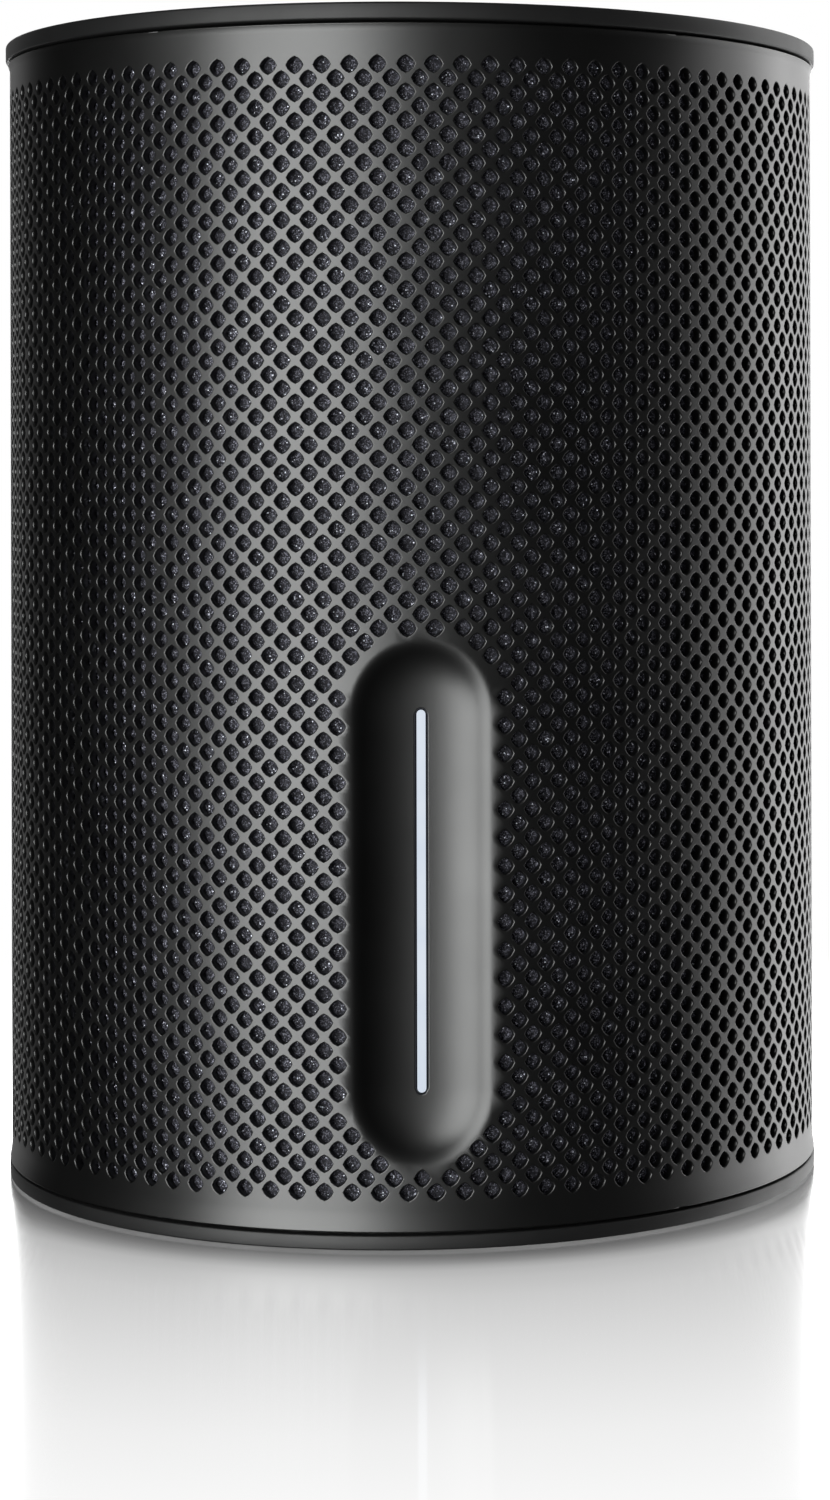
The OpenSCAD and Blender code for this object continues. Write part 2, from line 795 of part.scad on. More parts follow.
module driver_basket() {
    wall = 1.4;
    color([0.2, 0.2, 0.21]) difference() {
        rotate_extrude() polygon([
            [surround_r - 1.5, flange_z],
            [basket_neck_r + 1.5, plate_z + wall],
            [top_plate_in + 2, plate_z + wall],
            [top_plate_in + 2, plate_z],
            [basket_neck_r + 2, plate_z],
            [surround_r, flange_z - wall],
            [baffle_hole_r - slip, flange_z - gasket_t],
            [baffle_hole_r - slip, flange_z],
            [driver_r, flange_z],
            [driver_r, flange_z + flange_t],
            [surround_r, flange_z + flange_t],
            [surround_r, flange_z + 0.6],
            [surround_r - 1.5, flange_z + 0.6]
        ]);
        for (a = [0 : 60 : 300]) rotate([0, 0, a + 30])
            translate([basket_neck_r, -7, plate_z + 4]) cube([12, 14, 9]);
        for (spot = driver_screw_spots()) translate([spot[0], spot[1], flange_z - cut])
            cylinder(r = screw_r + slip, h = flange_t + 2 * cut);
    }
}

module driver_top_plate() {
    color([0.55, 0.55, 0.57]) translate([0, 0, plate_z - top_plate_t])
        ring(magnet_r - 1.5, top_plate_in, top_plate_t);
}

module driver_magnet() {
    color([0.16, 0.16, 0.17]) translate([0, 0, plate_z - top_plate_t - magnet_t])
        ring(magnet_r, coil_r + 4, magnet_t);
}

module driver_yoke() {
    bottom = plate_z - top_plate_t - magnet_t - yoke_t;
    color([0.55, 0.55, 0.57]) translate([0, 0, bottom]) union() {
        cylinder(r = magnet_r - 1.5, h = yoke_t);
        cylinder(r = coil_r - gap_in, h = plate_z - bottom);
    }
}

module spider() {
    neck = coil_r + coil_t + 0.1;
    color([0.75, 0.55, 0.2]) rotate_extrude() polygon([
        [neck, spider_z],
        [neck + 1.5, spider_z + 0.8],
        [neck + 3.2, spider_z],
        [neck + 4.9, spider_z + 0.8],
        [neck + 6.6, spider_z],
        [basket_neck_r + 0.4, spider_z],
        [basket_neck_r + 0.4, spider_z + spider_t],
        [neck + 6.6, spider_z + spider_t],
        [neck + 4.9, spider_z + 0.8 + spider_t],
        [neck + 3.2, spider_z + spider_t],
        [neck + 1.5, spider_z + 0.8 + spider_t],
        [neck, spider_z + spider_t]
    ]);
}

module voice_coil() {
    color([0.6, 0.35, 0.15]) translate([0, 0, plate_z - top_plate_t - 3])
        ring(coil_r + coil_t, coil_r, cone_neck_z - plate_z + top_plate_t + 3 + 1.5);
}

module speaker_cone() {
    neck = coil_r + coil_t;
    color([0.08, 0.08, 0.08]) rotate_extrude() polygon([
        [neck, cone_neck_z],
        [cone_r - 2, cone_rim_z],
        [cone_r, cone_rim_z],
        [cone_r, cone_rim_z + cone_t],
        [cone_r - 2.4, cone_rim_z + cone_t],
        [neck, cone_neck_z + cone_t * 1.6]
    ]);
}

module dust_cap() {
    dome_r = 14;
    rim = coil_r + coil_t;
    low = cone_neck_z + 1.6;
    sink = sqrt(dome_r * dome_r - rim * rim);
    color([0.12, 0.12, 0.12]) intersection() {
        translate([0, 0, low - sink]) difference() {
            sphere(r = dome_r);
            sphere(r = dome_r - 0.6);
        }
        translate([0, 0, low]) cylinder(r = rim, h = dome_r);
    }
}

module cone_surround() {
    roll_in = cone_r - 1;
    roll_out = surround_r - 0.2;
    seat = flange_z + 0.6;
    mid = (cone_r + surround_r) / 2 - 0.5;
    color([0.05, 0.05, 0.05]) rotate_extrude() polygon([
        [cone_r - 1.8, seat],
        [roll_in + 0.6, seat],
        [mid - 1, seat + 1.3],
        [mid + 1, seat + 1.3],
        [roll_out - 1.4, seat],
        [roll_out, seat],
        [roll_out, seat + 0.5],
        [roll_out - 1.1, seat + 0.5],
        [mid + 1.3, seat + 1.8],
        [mid - 1.3, seat + 1.8],
        [roll_in + 0.3, seat + 0.5],
        [cone_r - 1.8, seat + 0.5]
    ]);
}

module speaker_wires() {
    start_r = basket_neck_r + 6;
    color([0.6, 0.1, 0.1]) for (side = [-1, 1]) translate([0, side * 0.7, 0])
        lead([
            [start_r, wire_y, plate_z + 1],
            [wire_x, wire_y, plate_z - 8],
            [wire_x, wire_y, chamber_z - 8],
            [wire_x - 4, main_y - 3, chamber_z - 14],
            [wire_x - 4, main_y - 1.4, chamber_z - 18]
        ], 0.55);
}

// Above the speaker

module sound_deflector() {
    color([0.09, 0.09, 0.09]) difference() {
        deflector_solid();
        translate([0, 0, 2]) deflector_solid();
    }
}

module deflector_solid() {
    tip = top_frame_z - 9;
    rotate_extrude() polygon([
        [0, tip],
        [6, tip + 0.5],
        [20, tip + 3.6],
        [38, tip + 6.8],
        [46, top_frame_z - 1.5],
        [46, top_frame_z],
        [0, top_frame_z]
    ]);
}

module top_frame() {
    leg_r = chamber_r - 4.5;
    color([0.12, 0.12, 0.12]) difference() {
        union() {
            translate([0, 0, top_frame_z]) ring(frame_r, 24, top_frame_t);
            for (a = [30 : 60 : 330]) rotate([0, 0, a]) translate([leg_r, -4, baffle_top])
                cube([3.5, 8, deflector_room + top_frame_t / 2]);
            for (a = [45, 135, 225, 315]) translate(on_circle(mic_r, a))
                translate([0, 0, top_frame_z]) cylinder(r = 2.5, h = mic_board_z - top_frame_z);
        }
        block(0, ribbon_y - 1, top_frame_z - cut, ribbon_w + 2, 5, top_frame_t + 2 * cut);
    }
}

module microphone_board() {
    color([0.05, 0.22, 0.12]) translate([0, 0, mic_board_z]) ring(mic_r + 5, 26, 1.2);
}

module microphones() {
    color("silver") for (a = [0 : 60 : 300]) rotate([0, 0, a])
        translate([mic_r, -1.3, mic_board_z + 1.2]) cube([3.5, 2.6, 0.9]);
}

module microphone_ribbon() {
    run_y = ribbon_y;
    low = chamber_z - frame_ring_t - 2.2;
    color([0.7, 0.45, 0.15]) union() {
        block(0, run_y, low, ribbon_w, ribbon_t, mic_board_z - low);
        block(0, mic_r, mic_board_z - ribbon_t, ribbon_w, run_y - mic_r + ribbon_t, ribbon_t);
        block(0, main_back, low, ribbon_w, run_y - main_back + ribbon_t, ribbon_t);
        block(0, main_back, low - 4, ribbon_w, ribbon_t, 4 + ribbon_t);
    }
}

// Screws, grouped by what they hold

module board_screws() {
    color("dimgray") {
        for (spot = main_screw_spots()) translate(spot) rotate([-90, 0, 0]) screw(board_t + 6);
        for (spot = io_screw_spots()) translate(spot) screw(board_t + 5);
    }
}

module frame_screws() {
    color("dimgray") {
        for (spot = frame_screw_spots()) translate([spot[0], spot[1], foot_t + screw_head_t])
            rotate([180, 0, 0]) screw(floor_z + 8 - foot_t - screw_head_t);
        for (spot = chamber_screw_spots()) translate([spot[0], spot[1], chamber_z + chamber_t])
            screw(chamber_t + frame_ring_t);
        for (spot = baffle_screw_spots()) translate([spot[0], spot[1], baffle_top])
            screw(baffle_t + gasket_t + 6);
        for (spot = driver_screw_spots()) translate([spot[0], spot[1], flange_z + flange_t])
            screw(flange_t + gasket_t + baffle_t);
    }
}

perforated_shell();
top_cap();
cap_seal();
base_ring();
base_plate();
rubber_foot();
ballast_plate();
foam_sleeve();
core_frame();
light_bar();
light_carrier();
led_board();
status_leds();
led_ribbon();
carrier_screws();
main_board();
processor();
thermal_pad();
heat_sink();
memory_chips();
radio_chip();
radio_shield();
power_parts();
board_connector();
io_board();
ethernet_jack();
ethernet_contacts();
usb_port();
power_port();
connector_panel();
button_board();
pair_switch();
pair_plunger();
pair_button();
reset_switch();
reset_plunger();
antenna_boards();
antenna_leads();
speaker_enclosure();
wire_grommet();
enclosure_seal();
driver_baffle();
driver_gasket();
driver_basket();
driver_top_plate();
driver_magnet();
driver_yoke();
spider();
voice_coil();
speaker_cone();
dust_cap();
cone_surround();
speaker_wires();
sound_deflector();
top_frame();
microphone_board();
microphones();
microphone_ribbon();
board_screws();
frame_screws();
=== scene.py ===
import json
import math

import bmesh
import bpy
import numpy as np
from mathutils import Matrix, Vector


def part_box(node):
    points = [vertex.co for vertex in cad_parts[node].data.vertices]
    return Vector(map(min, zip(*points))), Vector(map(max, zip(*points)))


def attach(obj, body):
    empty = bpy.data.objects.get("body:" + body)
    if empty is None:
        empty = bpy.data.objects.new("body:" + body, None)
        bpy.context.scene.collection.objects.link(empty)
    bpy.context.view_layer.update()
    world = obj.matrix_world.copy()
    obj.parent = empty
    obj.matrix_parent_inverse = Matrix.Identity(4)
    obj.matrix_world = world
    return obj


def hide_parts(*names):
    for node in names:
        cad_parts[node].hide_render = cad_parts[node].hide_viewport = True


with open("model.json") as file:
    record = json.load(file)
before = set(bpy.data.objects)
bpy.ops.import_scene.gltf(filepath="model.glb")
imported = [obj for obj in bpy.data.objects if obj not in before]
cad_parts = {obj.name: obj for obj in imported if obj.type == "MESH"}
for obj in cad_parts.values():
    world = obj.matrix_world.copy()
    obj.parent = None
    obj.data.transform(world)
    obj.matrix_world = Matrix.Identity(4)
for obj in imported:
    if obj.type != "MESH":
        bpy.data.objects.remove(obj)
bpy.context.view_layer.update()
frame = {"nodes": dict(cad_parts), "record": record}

MM = 0.001

# Places and sizes taken from the frame
shell_low, shell_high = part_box("perforated_shell")
cap_low, cap_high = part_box("top_cap")
ring_low, ring_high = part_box("base_ring")
foot_low, foot_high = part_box("rubber_foot")
sleeve_low, sleeve_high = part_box("foam_sleeve")
panel_low, panel_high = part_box("connector_panel")
bar_low, bar_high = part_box("light_bar")

# The shell's wall and its flared lips
WALL = 1.2 * MM
LIP_FLARE = 0.3 * MM
LIP_CURVE = 1.6
LIP_LOW_HEIGHT = 2.5 * MM
LIP_TOP_HEIGHT = 1.0 * MM
shell_radius = shell_high.x - LIP_FLARE

# The hole pattern: rounded diamonds, every second row moved over by half a pitch
HOLES_ROUND = 100
HOLE_ROWS = 81
TOP_BAND = 8.25 * MM                # from the cap's top to the middle of the first row
HOLE_HALF = 1.12 * MM               # from a hole's middle to its corner
HOLE_BULGE = 0.62                   # how far out a hole's side bows: 0.5 is straight, 0.71 is a circle
HOLE_SIDE_STEPS = 3
RIM_ROUND = 0.18 * MM
HOLE_SHARP = math.radians(62)       # a steeper bend than this shades as an edge
pitch = 2 * math.pi * shell_radius / HOLES_ROUND
step = pitch / 2
step_angle = math.pi / HOLES_ROUND
first_row_z = cap_high.z - TOP_BAND
last_row_z = first_row_z - (HOLE_ROWS - 1) * step

# The groove at the front, a trough with ball ends and a soft rim
GROOVE_WIDTH = 18.0 * MM
GROOVE_HEIGHT = 69.5 * MM
GROOVE_SOFTNESS = 0.9 * MM
GROOVE_CLEAR = 10.9 * MM            # no hole comes nearer than this to the groove's middle line
BAR_WIDTH = 1.2 * MM
BAR_GAP = 0.25 * MM
BAR_FLANGE_OVERLAP = 1.2 * MM       # the bar's flange reaches this far past each of its ends
groove_mid_z = (bar_low.z + bar_high.z) / 2
groove_depth = shell_radius + bar_low.y
bar_half = (bar_high.z - bar_low.z) / 2 - BAR_FLANGE_OVERLAP
rim_y = math.sqrt(shell_radius ** 2 - (GROOVE_WIDTH / 2) ** 2)
groove_drop = rim_y - (shell_radius - groove_depth)
GROOVE_ROUNDNESS = 0.55             # the round share of the groove's hollow; the rest steepens near its rim
GROOVE_COLUMNS = 8                  # the groove lies within this many steps of the front
FRONT_TURN = 0.6                    # and within this angle
GROOVE_PULL = 2                     # its hollow bends the shell out to this many half widths


def groove_hollow(share):
    """How far the groove's surface has come forward, from 0 at its middle to 1 at its nominal rim."""
    return GROOVE_ROUNDNESS * share ** 2 + (1 - GROOVE_ROUNDNESS) * share ** 4


def end_reach():
    """How far the groove's rounded ends reach from the ends of its middle line."""
    depth = groove_depth / groove_drop
    bend = 1 - GROOVE_ROUNDNESS
    share = math.sqrt((math.sqrt(GROOVE_ROUNDNESS ** 2 + 4 * bend * depth) - GROOVE_ROUNDNESS) / (2 * bend))
    return share * GROOVE_WIDTH / 2


groove_end = GROOVE_HEIGHT / 2 - end_reach()

# The window for the connector panel, on whole steps of the hole pattern
window_columns = round(math.asin(panel_high.x / shell_radius) / step_angle)


def new_object(name, bm, smooth=True):
    mesh = bpy.data.meshes.new(name)
    bm.to_mesh(mesh)
    bm.free()
    if smooth:
        mesh.shade_smooth()
    obj = bpy.data.objects.new(name, mesh)
    bpy.context.scene.collection.objects.link(obj)
    return obj


def put(obj, material, body="hub", replaces=()):
    """Gives a finished piece its material and its body, and hides the nodes that it stands for."""
    obj.data.materials.clear()
    obj.data.materials.append(material)
    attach(obj, body)
    if replaces:
        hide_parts(*replaces)
    return obj


# ---------------------------------------------------------------- materials

def add_socket(group, name, kind, direction, default=None):
    socket = group.interface.new_socket(name=name, in_out=direction, socket_type=kind)
    if default is not None:
        socket.default_value = default
    return socket


def start_group(name, inputs, outputs):
    group = bpy.data.node_groups.new(name, "ShaderNodeTree")
    for label, default in inputs:
        add_socket(group, label, "NodeSocketFloat", "INPUT", default)
    for label in outputs:
        add_socket(group, label, "NodeSocketFloat", "OUTPUT")
    return group, group.nodes.new("NodeGroupInput"), group.nodes.new("NodeGroupOutput")


def object_position(group):
    return group.nodes.new("ShaderNodeTexCoord").outputs["Object"]


def maths(group, operation, a, b=None):
    node = group.nodes.new("ShaderNodeMath")
    node.operation = operation
    for socket, value in zip(node.inputs, (a, b)):
        if value is None:
            continue
        if isinstance(value, (int, float)):
            socket.default_value = value
        else:
            group.links.new(value, socket)
    return node.outputs[0]


def noise(group, position, scale, detail=3.0, roughness=0.5):
    node = group.nodes.new("ShaderNodeTexNoise")
    node.inputs["Detail"].default_value = detail
    node.inputs["Roughness"].default_value = roughness
    group.links.new(position, node.inputs["Vector"])
    if isinstance(scale, (int, float)):
        node.inputs["Scale"].default_value = scale
    else:
        group.links.new(scale, node.inputs["Scale"])
    return node.outputs["Fac"]


def stretch(group, position, scale):
    node = group.nodes.new("ShaderNodeMapping")
    node.inputs["Scale"].default_value = scale
    group.links.new(position, node.inputs["Vector"])
    return node.outputs["Vector"]


def ramp(group, value, low, high):
    node = group.nodes.new("ShaderNodeMapRange")
    node.clamp = True
    group.links.new(value, node.inputs["Value"])
    node.inputs["From Min"].default_value = low
    node.inputs["From Max"].default_value = high
    return node.outputs["Result"]


def grain_group():
    """Moulded or coated grain: fine pits, with slow smudges from handling."""
    group, inside, outside = start_group("grain", [("Scale", 4000.0), ("Smudge Scale", 60.0)],
                                         ["Mask", "Height", "Smudge"])
    position = object_position(group)
    fine = noise(group, position, inside.outputs["Scale"], 4.0, 0.6)
    smudge = noise(group, position, inside.outputs["Smudge Scale"], 3.0, 0.6)
    group.links.new(ramp(group, fine, 0.3, 0.7), outside.inputs["Mask"])
    group.links.new(fine, outside.inputs["Height"])
    group.links.new(ramp(group, smudge, 0.35, 0.65), outside.inputs["Smudge"])
    return group


def brushed_group():
    """Fine lines left by rolling or brushing, running along X."""
    group, inside, outside = start_group("brushed_lines", [("Scale", 900.0), ("Smudge Scale", 90.0)],
                                         ["Mask", "Height", "Smudge"])
    position = object_position(group)
    lines = noise(group, stretch(group, position, (0.04, 1.0, 1.0)), inside.outputs["Scale"], 2.0, 0.6)
    smudge = noise(group, position, inside.outputs["Smudge Scale"], 3.0, 0.6)
    group.links.new(ramp(group, lines, 0.3, 0.7), outside.inputs["Mask"])
    group.links.new(lines, outside.inputs["Height"])
    group.links.new(ramp(group, smudge, 0.35, 0.65), outside.inputs["Smudge"])
    return group


def cell_group():
    """Open cells, as in foam or cast ferrite: dark pores between lit struts."""
    group, inside, outside = start_group("open_cells", [("Scale", 2600.0), ("Smudge Scale", 200.0)],
                                         ["Mask", "Height", "Smudge"])
    position = object_position(group)
    cells = group.nodes.new("ShaderNodeTexVoronoi")
    cells.feature = "F1"
    group.links.new(position, cells.inputs["Vector"])
    group.links.new(inside.outputs["Scale"], cells.inputs["Scale"])
    broken = noise(group, position, inside.outputs["Scale"], 3.0, 0.7)
    struts = maths(group, "MULTIPLY", cells.outputs["Distance"], broken)
    smudge = noise(group, position, inside.outputs["Smudge Scale"], 2.0, 0.5)
    group.links.new(ramp(group, struts, 0.12, 0.5), outside.inputs["Mask"])
    group.links.new(struts, outside.inputs["Height"])
    group.links.new(ramp(group, smudge, 0.35, 0.65), outside.inputs["Smudge"])
    return group


def painted_glint_group():
    """Painted glints: single cells painted bright, as highlights, scattered at random."""
    group, inside, outside = start_group("painted_glint_cells", [("Scale", 3000.0), ("Rarity", 0.93)], ["Glint"])
    cells = group.nodes.new("ShaderNodeTexVoronoi")
    cells.feature = "F1"
    group.links.new(object_position(group), cells.inputs["Vector"])
    group.links.new(inside.outputs["Scale"], cells.inputs["Scale"])
    pick = group.nodes.new("ShaderNodeSeparateColor")
    group.links.new(cells.outputs["Color"], pick.inputs["Color"])
    chosen = maths(group, "GREATER_THAN", pick.outputs["Red"], inside.outputs["Rarity"])
    core = maths(group, "LESS_THAN", cells.outputs["Distance"], 0.4)
    group.links.new(maths(group, "MULTIPLY", chosen, core), outside.inputs["Glint"])
    return group


def weave_group():
    """Crossing threads."""
    group, inside, outside = start_group("weave", [("Scale", 1500.0), ("Smudge Scale", 80.0)],
                                         ["Mask", "Height", "Smudge"])
    position = object_position(group)
    threads = []
    for direction in ("X", "Y"):
        wave = group.nodes.new("ShaderNodeTexWave")
        wave.wave_type = "BANDS"
        wave.bands_direction = direction
        wave.inputs["Distortion"].default_value = 0.6
        group.links.new(position, wave.inputs["Vector"])
        group.links.new(inside.outputs["Scale"], wave.inputs["Scale"])
        threads.append(wave.outputs["Fac"])
    cloth = maths(group, "MAXIMUM", threads[0], threads[1])
    smudge = noise(group, position, inside.outputs["Smudge Scale"], 3.0, 0.6)
    group.links.new(cloth, outside.inputs["Mask"])
    group.links.new(cloth, outside.inputs["Height"])
    group.links.new(ramp(group, smudge, 0.35, 0.65), outside.inputs["Smudge"])
    return group


def track_group():
    """Etched tracks under solder mask: blocky lanes with small round pads."""
    group, inside, outside = start_group("board_tracks", [("Scale", 420.0), ("Smudge Scale", 60.0)],
                                         ["Mask", "Height", "Smudge"])
    position = object_position(group)
    lanes = group.nodes.new("ShaderNodeTexVoronoi")
    lanes.distance = "CHEBYCHEV"
    lanes.feature = "F1"
    group.links.new(position, lanes.inputs["Vector"])
    group.links.new(inside.outputs["Scale"], lanes.inputs["Scale"])
    line = maths(group, "PINGPONG", maths(group, "MULTIPLY", lanes.outputs["Distance"], 4.0), 0.5)
    smudge = noise(group, position, inside.outputs["Smudge Scale"], 3.0, 0.6)
    track = ramp(group, line, 0.22, 0.28)
    group.links.new(track, outside.inputs["Mask"])
    group.links.new(track, outside.inputs["Height"])
    group.links.new(ramp(group, smudge, 0.35, 0.65), outside.inputs["Smudge"])
    return group


PATTERNS = {
    "grain": grain_group(),
    "brushed": brushed_group(),
    "cells": cell_group(),
    "weave": weave_group(),
    "tracks": track_group(),
}
PAINTED_GLINTS = painted_glint_group()


def start_material(name):
    material = bpy.data.materials.new(name)
    material.use_nodes = True
    return material, material.node_tree, material.node_tree.nodes["Principled BSDF"]


def mix_colours(tree, factor, dark, light):
    node = tree.nodes.new("ShaderNodeMix")
    node.data_type = "RGBA"
    node.inputs["A"].default_value = (*dark, 1)
    node.inputs["B"].default_value = (*light, 1)
    tree.links.new(factor, node.inputs["Factor"])
    return node.outputs["Result"]


def finish(name, dark, light, rough=(0.4, 0.5), pattern="grain", scale=4000.0, smudge=60.0, bump=0.1,
           depth=0.05 * MM, metallic=0.0, specular=0.5):
    """One finish: a pattern mixes two tints and lifts the surface, and slow smudges change the gloss."""
    material, tree, shader = start_material(name)
    node = tree.nodes.new("ShaderNodeGroup")
    node.node_tree = PATTERNS[pattern]
    node.inputs["Scale"].default_value = scale
    node.inputs["Smudge Scale"].default_value = smudge
    tree.links.new(mix_colours(tree, node.outputs["Mask"], dark, light), shader.inputs["Base Color"])
    gloss = tree.nodes.new("ShaderNodeMapRange")
    tree.links.new(node.outputs["Smudge"], gloss.inputs["Value"])
    gloss.inputs["To Min"].default_value = rough[0]
    gloss.inputs["To Max"].default_value = rough[1]
    tree.links.new(gloss.outputs["Result"], shader.inputs["Roughness"])
    lift = tree.nodes.new("ShaderNodeBump")
    lift.inputs["Strength"].default_value = bump
    lift.inputs["Distance"].default_value = depth
    tree.links.new(node.outputs["Height"], lift.inputs["Height"])
    tree.links.new(lift.outputs["Normal"], shader.inputs["Normal"])
    shader.inputs["Metallic"].default_value = metallic
    shader.inputs["Specular IOR Level"].default_value = specular
    return material


def shell_coat():
    """Satin black coat on the shell: near black, with a fine orange-peel grain."""
    return finish("shell_black", (0.0003, 0.0003, 0.0003), (0.0006, 0.0006, 0.0006), rough=(0.35, 0.39),
                  scale=5200.0, smudge=45.0, bump=0.12, depth=0.02 * MM, specular=0.5)


def speck_group():
    """Broken struts of open foam: every small cell gets its own tone, and most stay dark."""
    group, inside, outside = start_group("foam_specks", [("Scale", 7000.0), ("Contrast", 5.0)],
                                         ["Mask", "Height"])
    position = object_position(group)
    bent = group.nodes.new("ShaderNodeVectorMath")
    bent.operation = "ADD"
    sway = group.nodes.new("ShaderNodeTexNoise")
    sway.inputs["Scale"].default_value = 3000.0
    group.links.new(position, sway.inputs["Vector"])
    small = group.nodes.new("ShaderNodeVectorMath")
    small.operation = "SCALE"
    small.inputs["Scale"].default_value = 0.3 * MM
    group.links.new(sway.outputs["Color"], small.inputs[0])
    group.links.new(position, bent.inputs[0])
    group.links.new(small.outputs[0], bent.inputs[1])
    cells = group.nodes.new("ShaderNodeTexVoronoi")
    cells.feature = "F1"
    group.links.new(bent.outputs[0], cells.inputs["Vector"])
    group.links.new(inside.outputs["Scale"], cells.inputs["Scale"])
    tone = group.nodes.new("ShaderNodeSeparateColor")
    group.links.new(cells.outputs["Color"], tone.inputs["Color"])
    picked = maths(group, "POWER", tone.outputs["Green"], inside.outputs["Contrast"])
    core = maths(group, "SUBTRACT", 1.0, cells.outputs["Distance"])
    group.links.new(maths(group, "MULTIPLY", picked, core), outside.inputs["Mask"])
    group.links.new(tone.outputs["Blue"], outside.inputs["Height"])
    return group


SPECKS = speck_group()


def sleeve_foam():
    """Open-cell foam: near-black pores, grey struts and cold glints painted into its colour as highlights."""
    material, tree, shader = start_material("sleeve_foam")
    specks = tree.nodes.new("ShaderNodeGroup")
    specks.node_tree = SPECKS
    painted_glints = tree.nodes.new("ShaderNodeGroup")
    painted_glints.node_tree = PAINTED_GLINTS
    painted_glints.inputs["Scale"].default_value = 4200.0
    painted_glints.inputs["Rarity"].default_value = 0.96
    struts = mix_colours(tree, specks.outputs["Mask"], (0.007, 0.007, 0.0095), (0.34, 0.34, 0.41))
    # Bright cells mixed over the struts are painted glints: highlights painted into the foam's colour
    lit = tree.nodes.new("ShaderNodeMix")
    lit.data_type = "RGBA"
    tree.links.new(painted_glints.outputs["Glint"], lit.inputs["Factor"])
    tree.links.new(struts, lit.inputs["A"])
    lit.inputs["B"].default_value = (0.62, 0.64, 0.72, 1)
    tree.links.new(lit.outputs["Result"], shader.inputs["Base Color"])
    shader.inputs["Roughness"].default_value = 0.7
    shader.inputs["Specular IOR Level"].default_value = 0.12
    lift = tree.nodes.new("ShaderNodeBump")
    lift.inputs["Strength"].default_value = 0.4
    lift.inputs["Distance"].default_value = 0.1 * MM
    tree.links.new(specks.outputs["Height"], lift.inputs["Height"])
    tree.links.new(lift.outputs["Normal"], shader.inputs["Normal"])
    return material


def lit_diffuser():
    """The lit bar: an even cool white glow with a faint moulded grain."""
    material, tree, shader = start_material("bar_diffuser")
    node = tree.nodes.new("ShaderNodeGroup")
    node.node_tree = PATTERNS["grain"]
    node.inputs["Scale"].default_value = 900.0
    node.inputs["Smudge Scale"].default_value = 120.0
    glow = mix_colours(tree, node.outputs["Smudge"], (0.62, 0.69, 0.79), (0.68, 0.74, 0.82))
    split = tree.nodes.new("ShaderNodeSeparateXYZ")
    tree.links.new(object_position(tree), split.inputs[0])
    nose = tree.nodes.new("ShaderNodeMapRange")
    nose.inputs["From Min"].default_value = bar_low.y + 0.7 * MM
    nose.inputs["From Max"].default_value = bar_low.y + 0.3 * MM
    tree.links.new(split.outputs["Y"], nose.inputs["Value"])
    lit = tree.nodes.new("ShaderNodeMix")
    lit.data_type = "RGBA"
    lit.inputs["A"].default_value = (0.01, 0.01, 0.014, 1)
    tree.links.new(nose.outputs["Result"], lit.inputs["Factor"])
    tree.links.new(glow, lit.inputs["B"])
    tree.links.new(lit.outputs["Result"], shader.inputs["Emission Color"])
    tree.links.new(mix_colours(tree, node.outputs["Mask"], (0.004, 0.004, 0.004), (0.008, 0.008, 0.008)),
                   shader.inputs["Base Color"])
    shader.inputs["Emission Strength"].default_value = 1.0
    shader.inputs["Roughness"].default_value = 0.5
    shader.inputs["Specular IOR Level"].default_value = 0.1
    return material


def black_plastic(name, tone, rough, scale, bump, depth=0.04 * MM):
    return finish(name, (tone * 0.8,) * 3, (tone * 1.3,) * 3, rough=rough, scale=scale, bump=bump,
                  depth=depth)


def steel(name, tone, rough, scale=900.0):
    return finish(name, (tone * 0.85,) * 3, (tone,) * 3, rough=rough, pattern="brushed", scale=scale,
                  bump=0.06, depth=0.02 * MM, metallic=1.0)


def rubber(name, tone):
    return finish(name, (tone * 0.7,) * 3, (tone * 1.3,) * 3, rough=(0.7, 0.82), scale=3000.0, bump=0.2,
                  depth=0.03 * MM, specular=0.3)


def solder_mask(name, dark, light):
    return finish(name, dark, light, rough=(0.3, 0.4), pattern="tracks", scale=420.0, bump=0.3,
                  depth=0.03 * MM)


PORT_SKIN = 0.2 * MM                # what lies deeper than this inside a port's outer faces is its lining


def lining_group():
    """Marks what lies inside a port's can, and leaves its front rim and its outside as metal."""
    group, inside, outside = start_group(
        "port_lining",
        [("Middle X", 0.0), ("Middle Z", 0.0), ("Half X", 0.0), ("Half Z", 0.0), ("Front Y", 0.0)],
        ["Mask", "Metal"])
    split = group.nodes.new("ShaderNodeSeparateXYZ")
    group.links.new(object_position(group), split.inputs[0])
    mask = maths(group, "LESS_THAN", split.outputs["Y"], inside.outputs["Front Y"])
    for axis in ("X", "Z"):
        apart = maths(group, "SUBTRACT", split.outputs[axis], inside.outputs["Middle " + axis])
        near = maths(group, "LESS_THAN", maths(group, "ABSOLUTE", apart), inside.outputs["Half " + axis])
        mask = maths(group, "MULTIPLY", mask, near)
    group.links.new(mask, outside.inputs["Mask"])
    group.links.new(maths(group, "SUBTRACT", 1.0, mask), outside.inputs["Metal"])
    return group


LINING = lining_group()


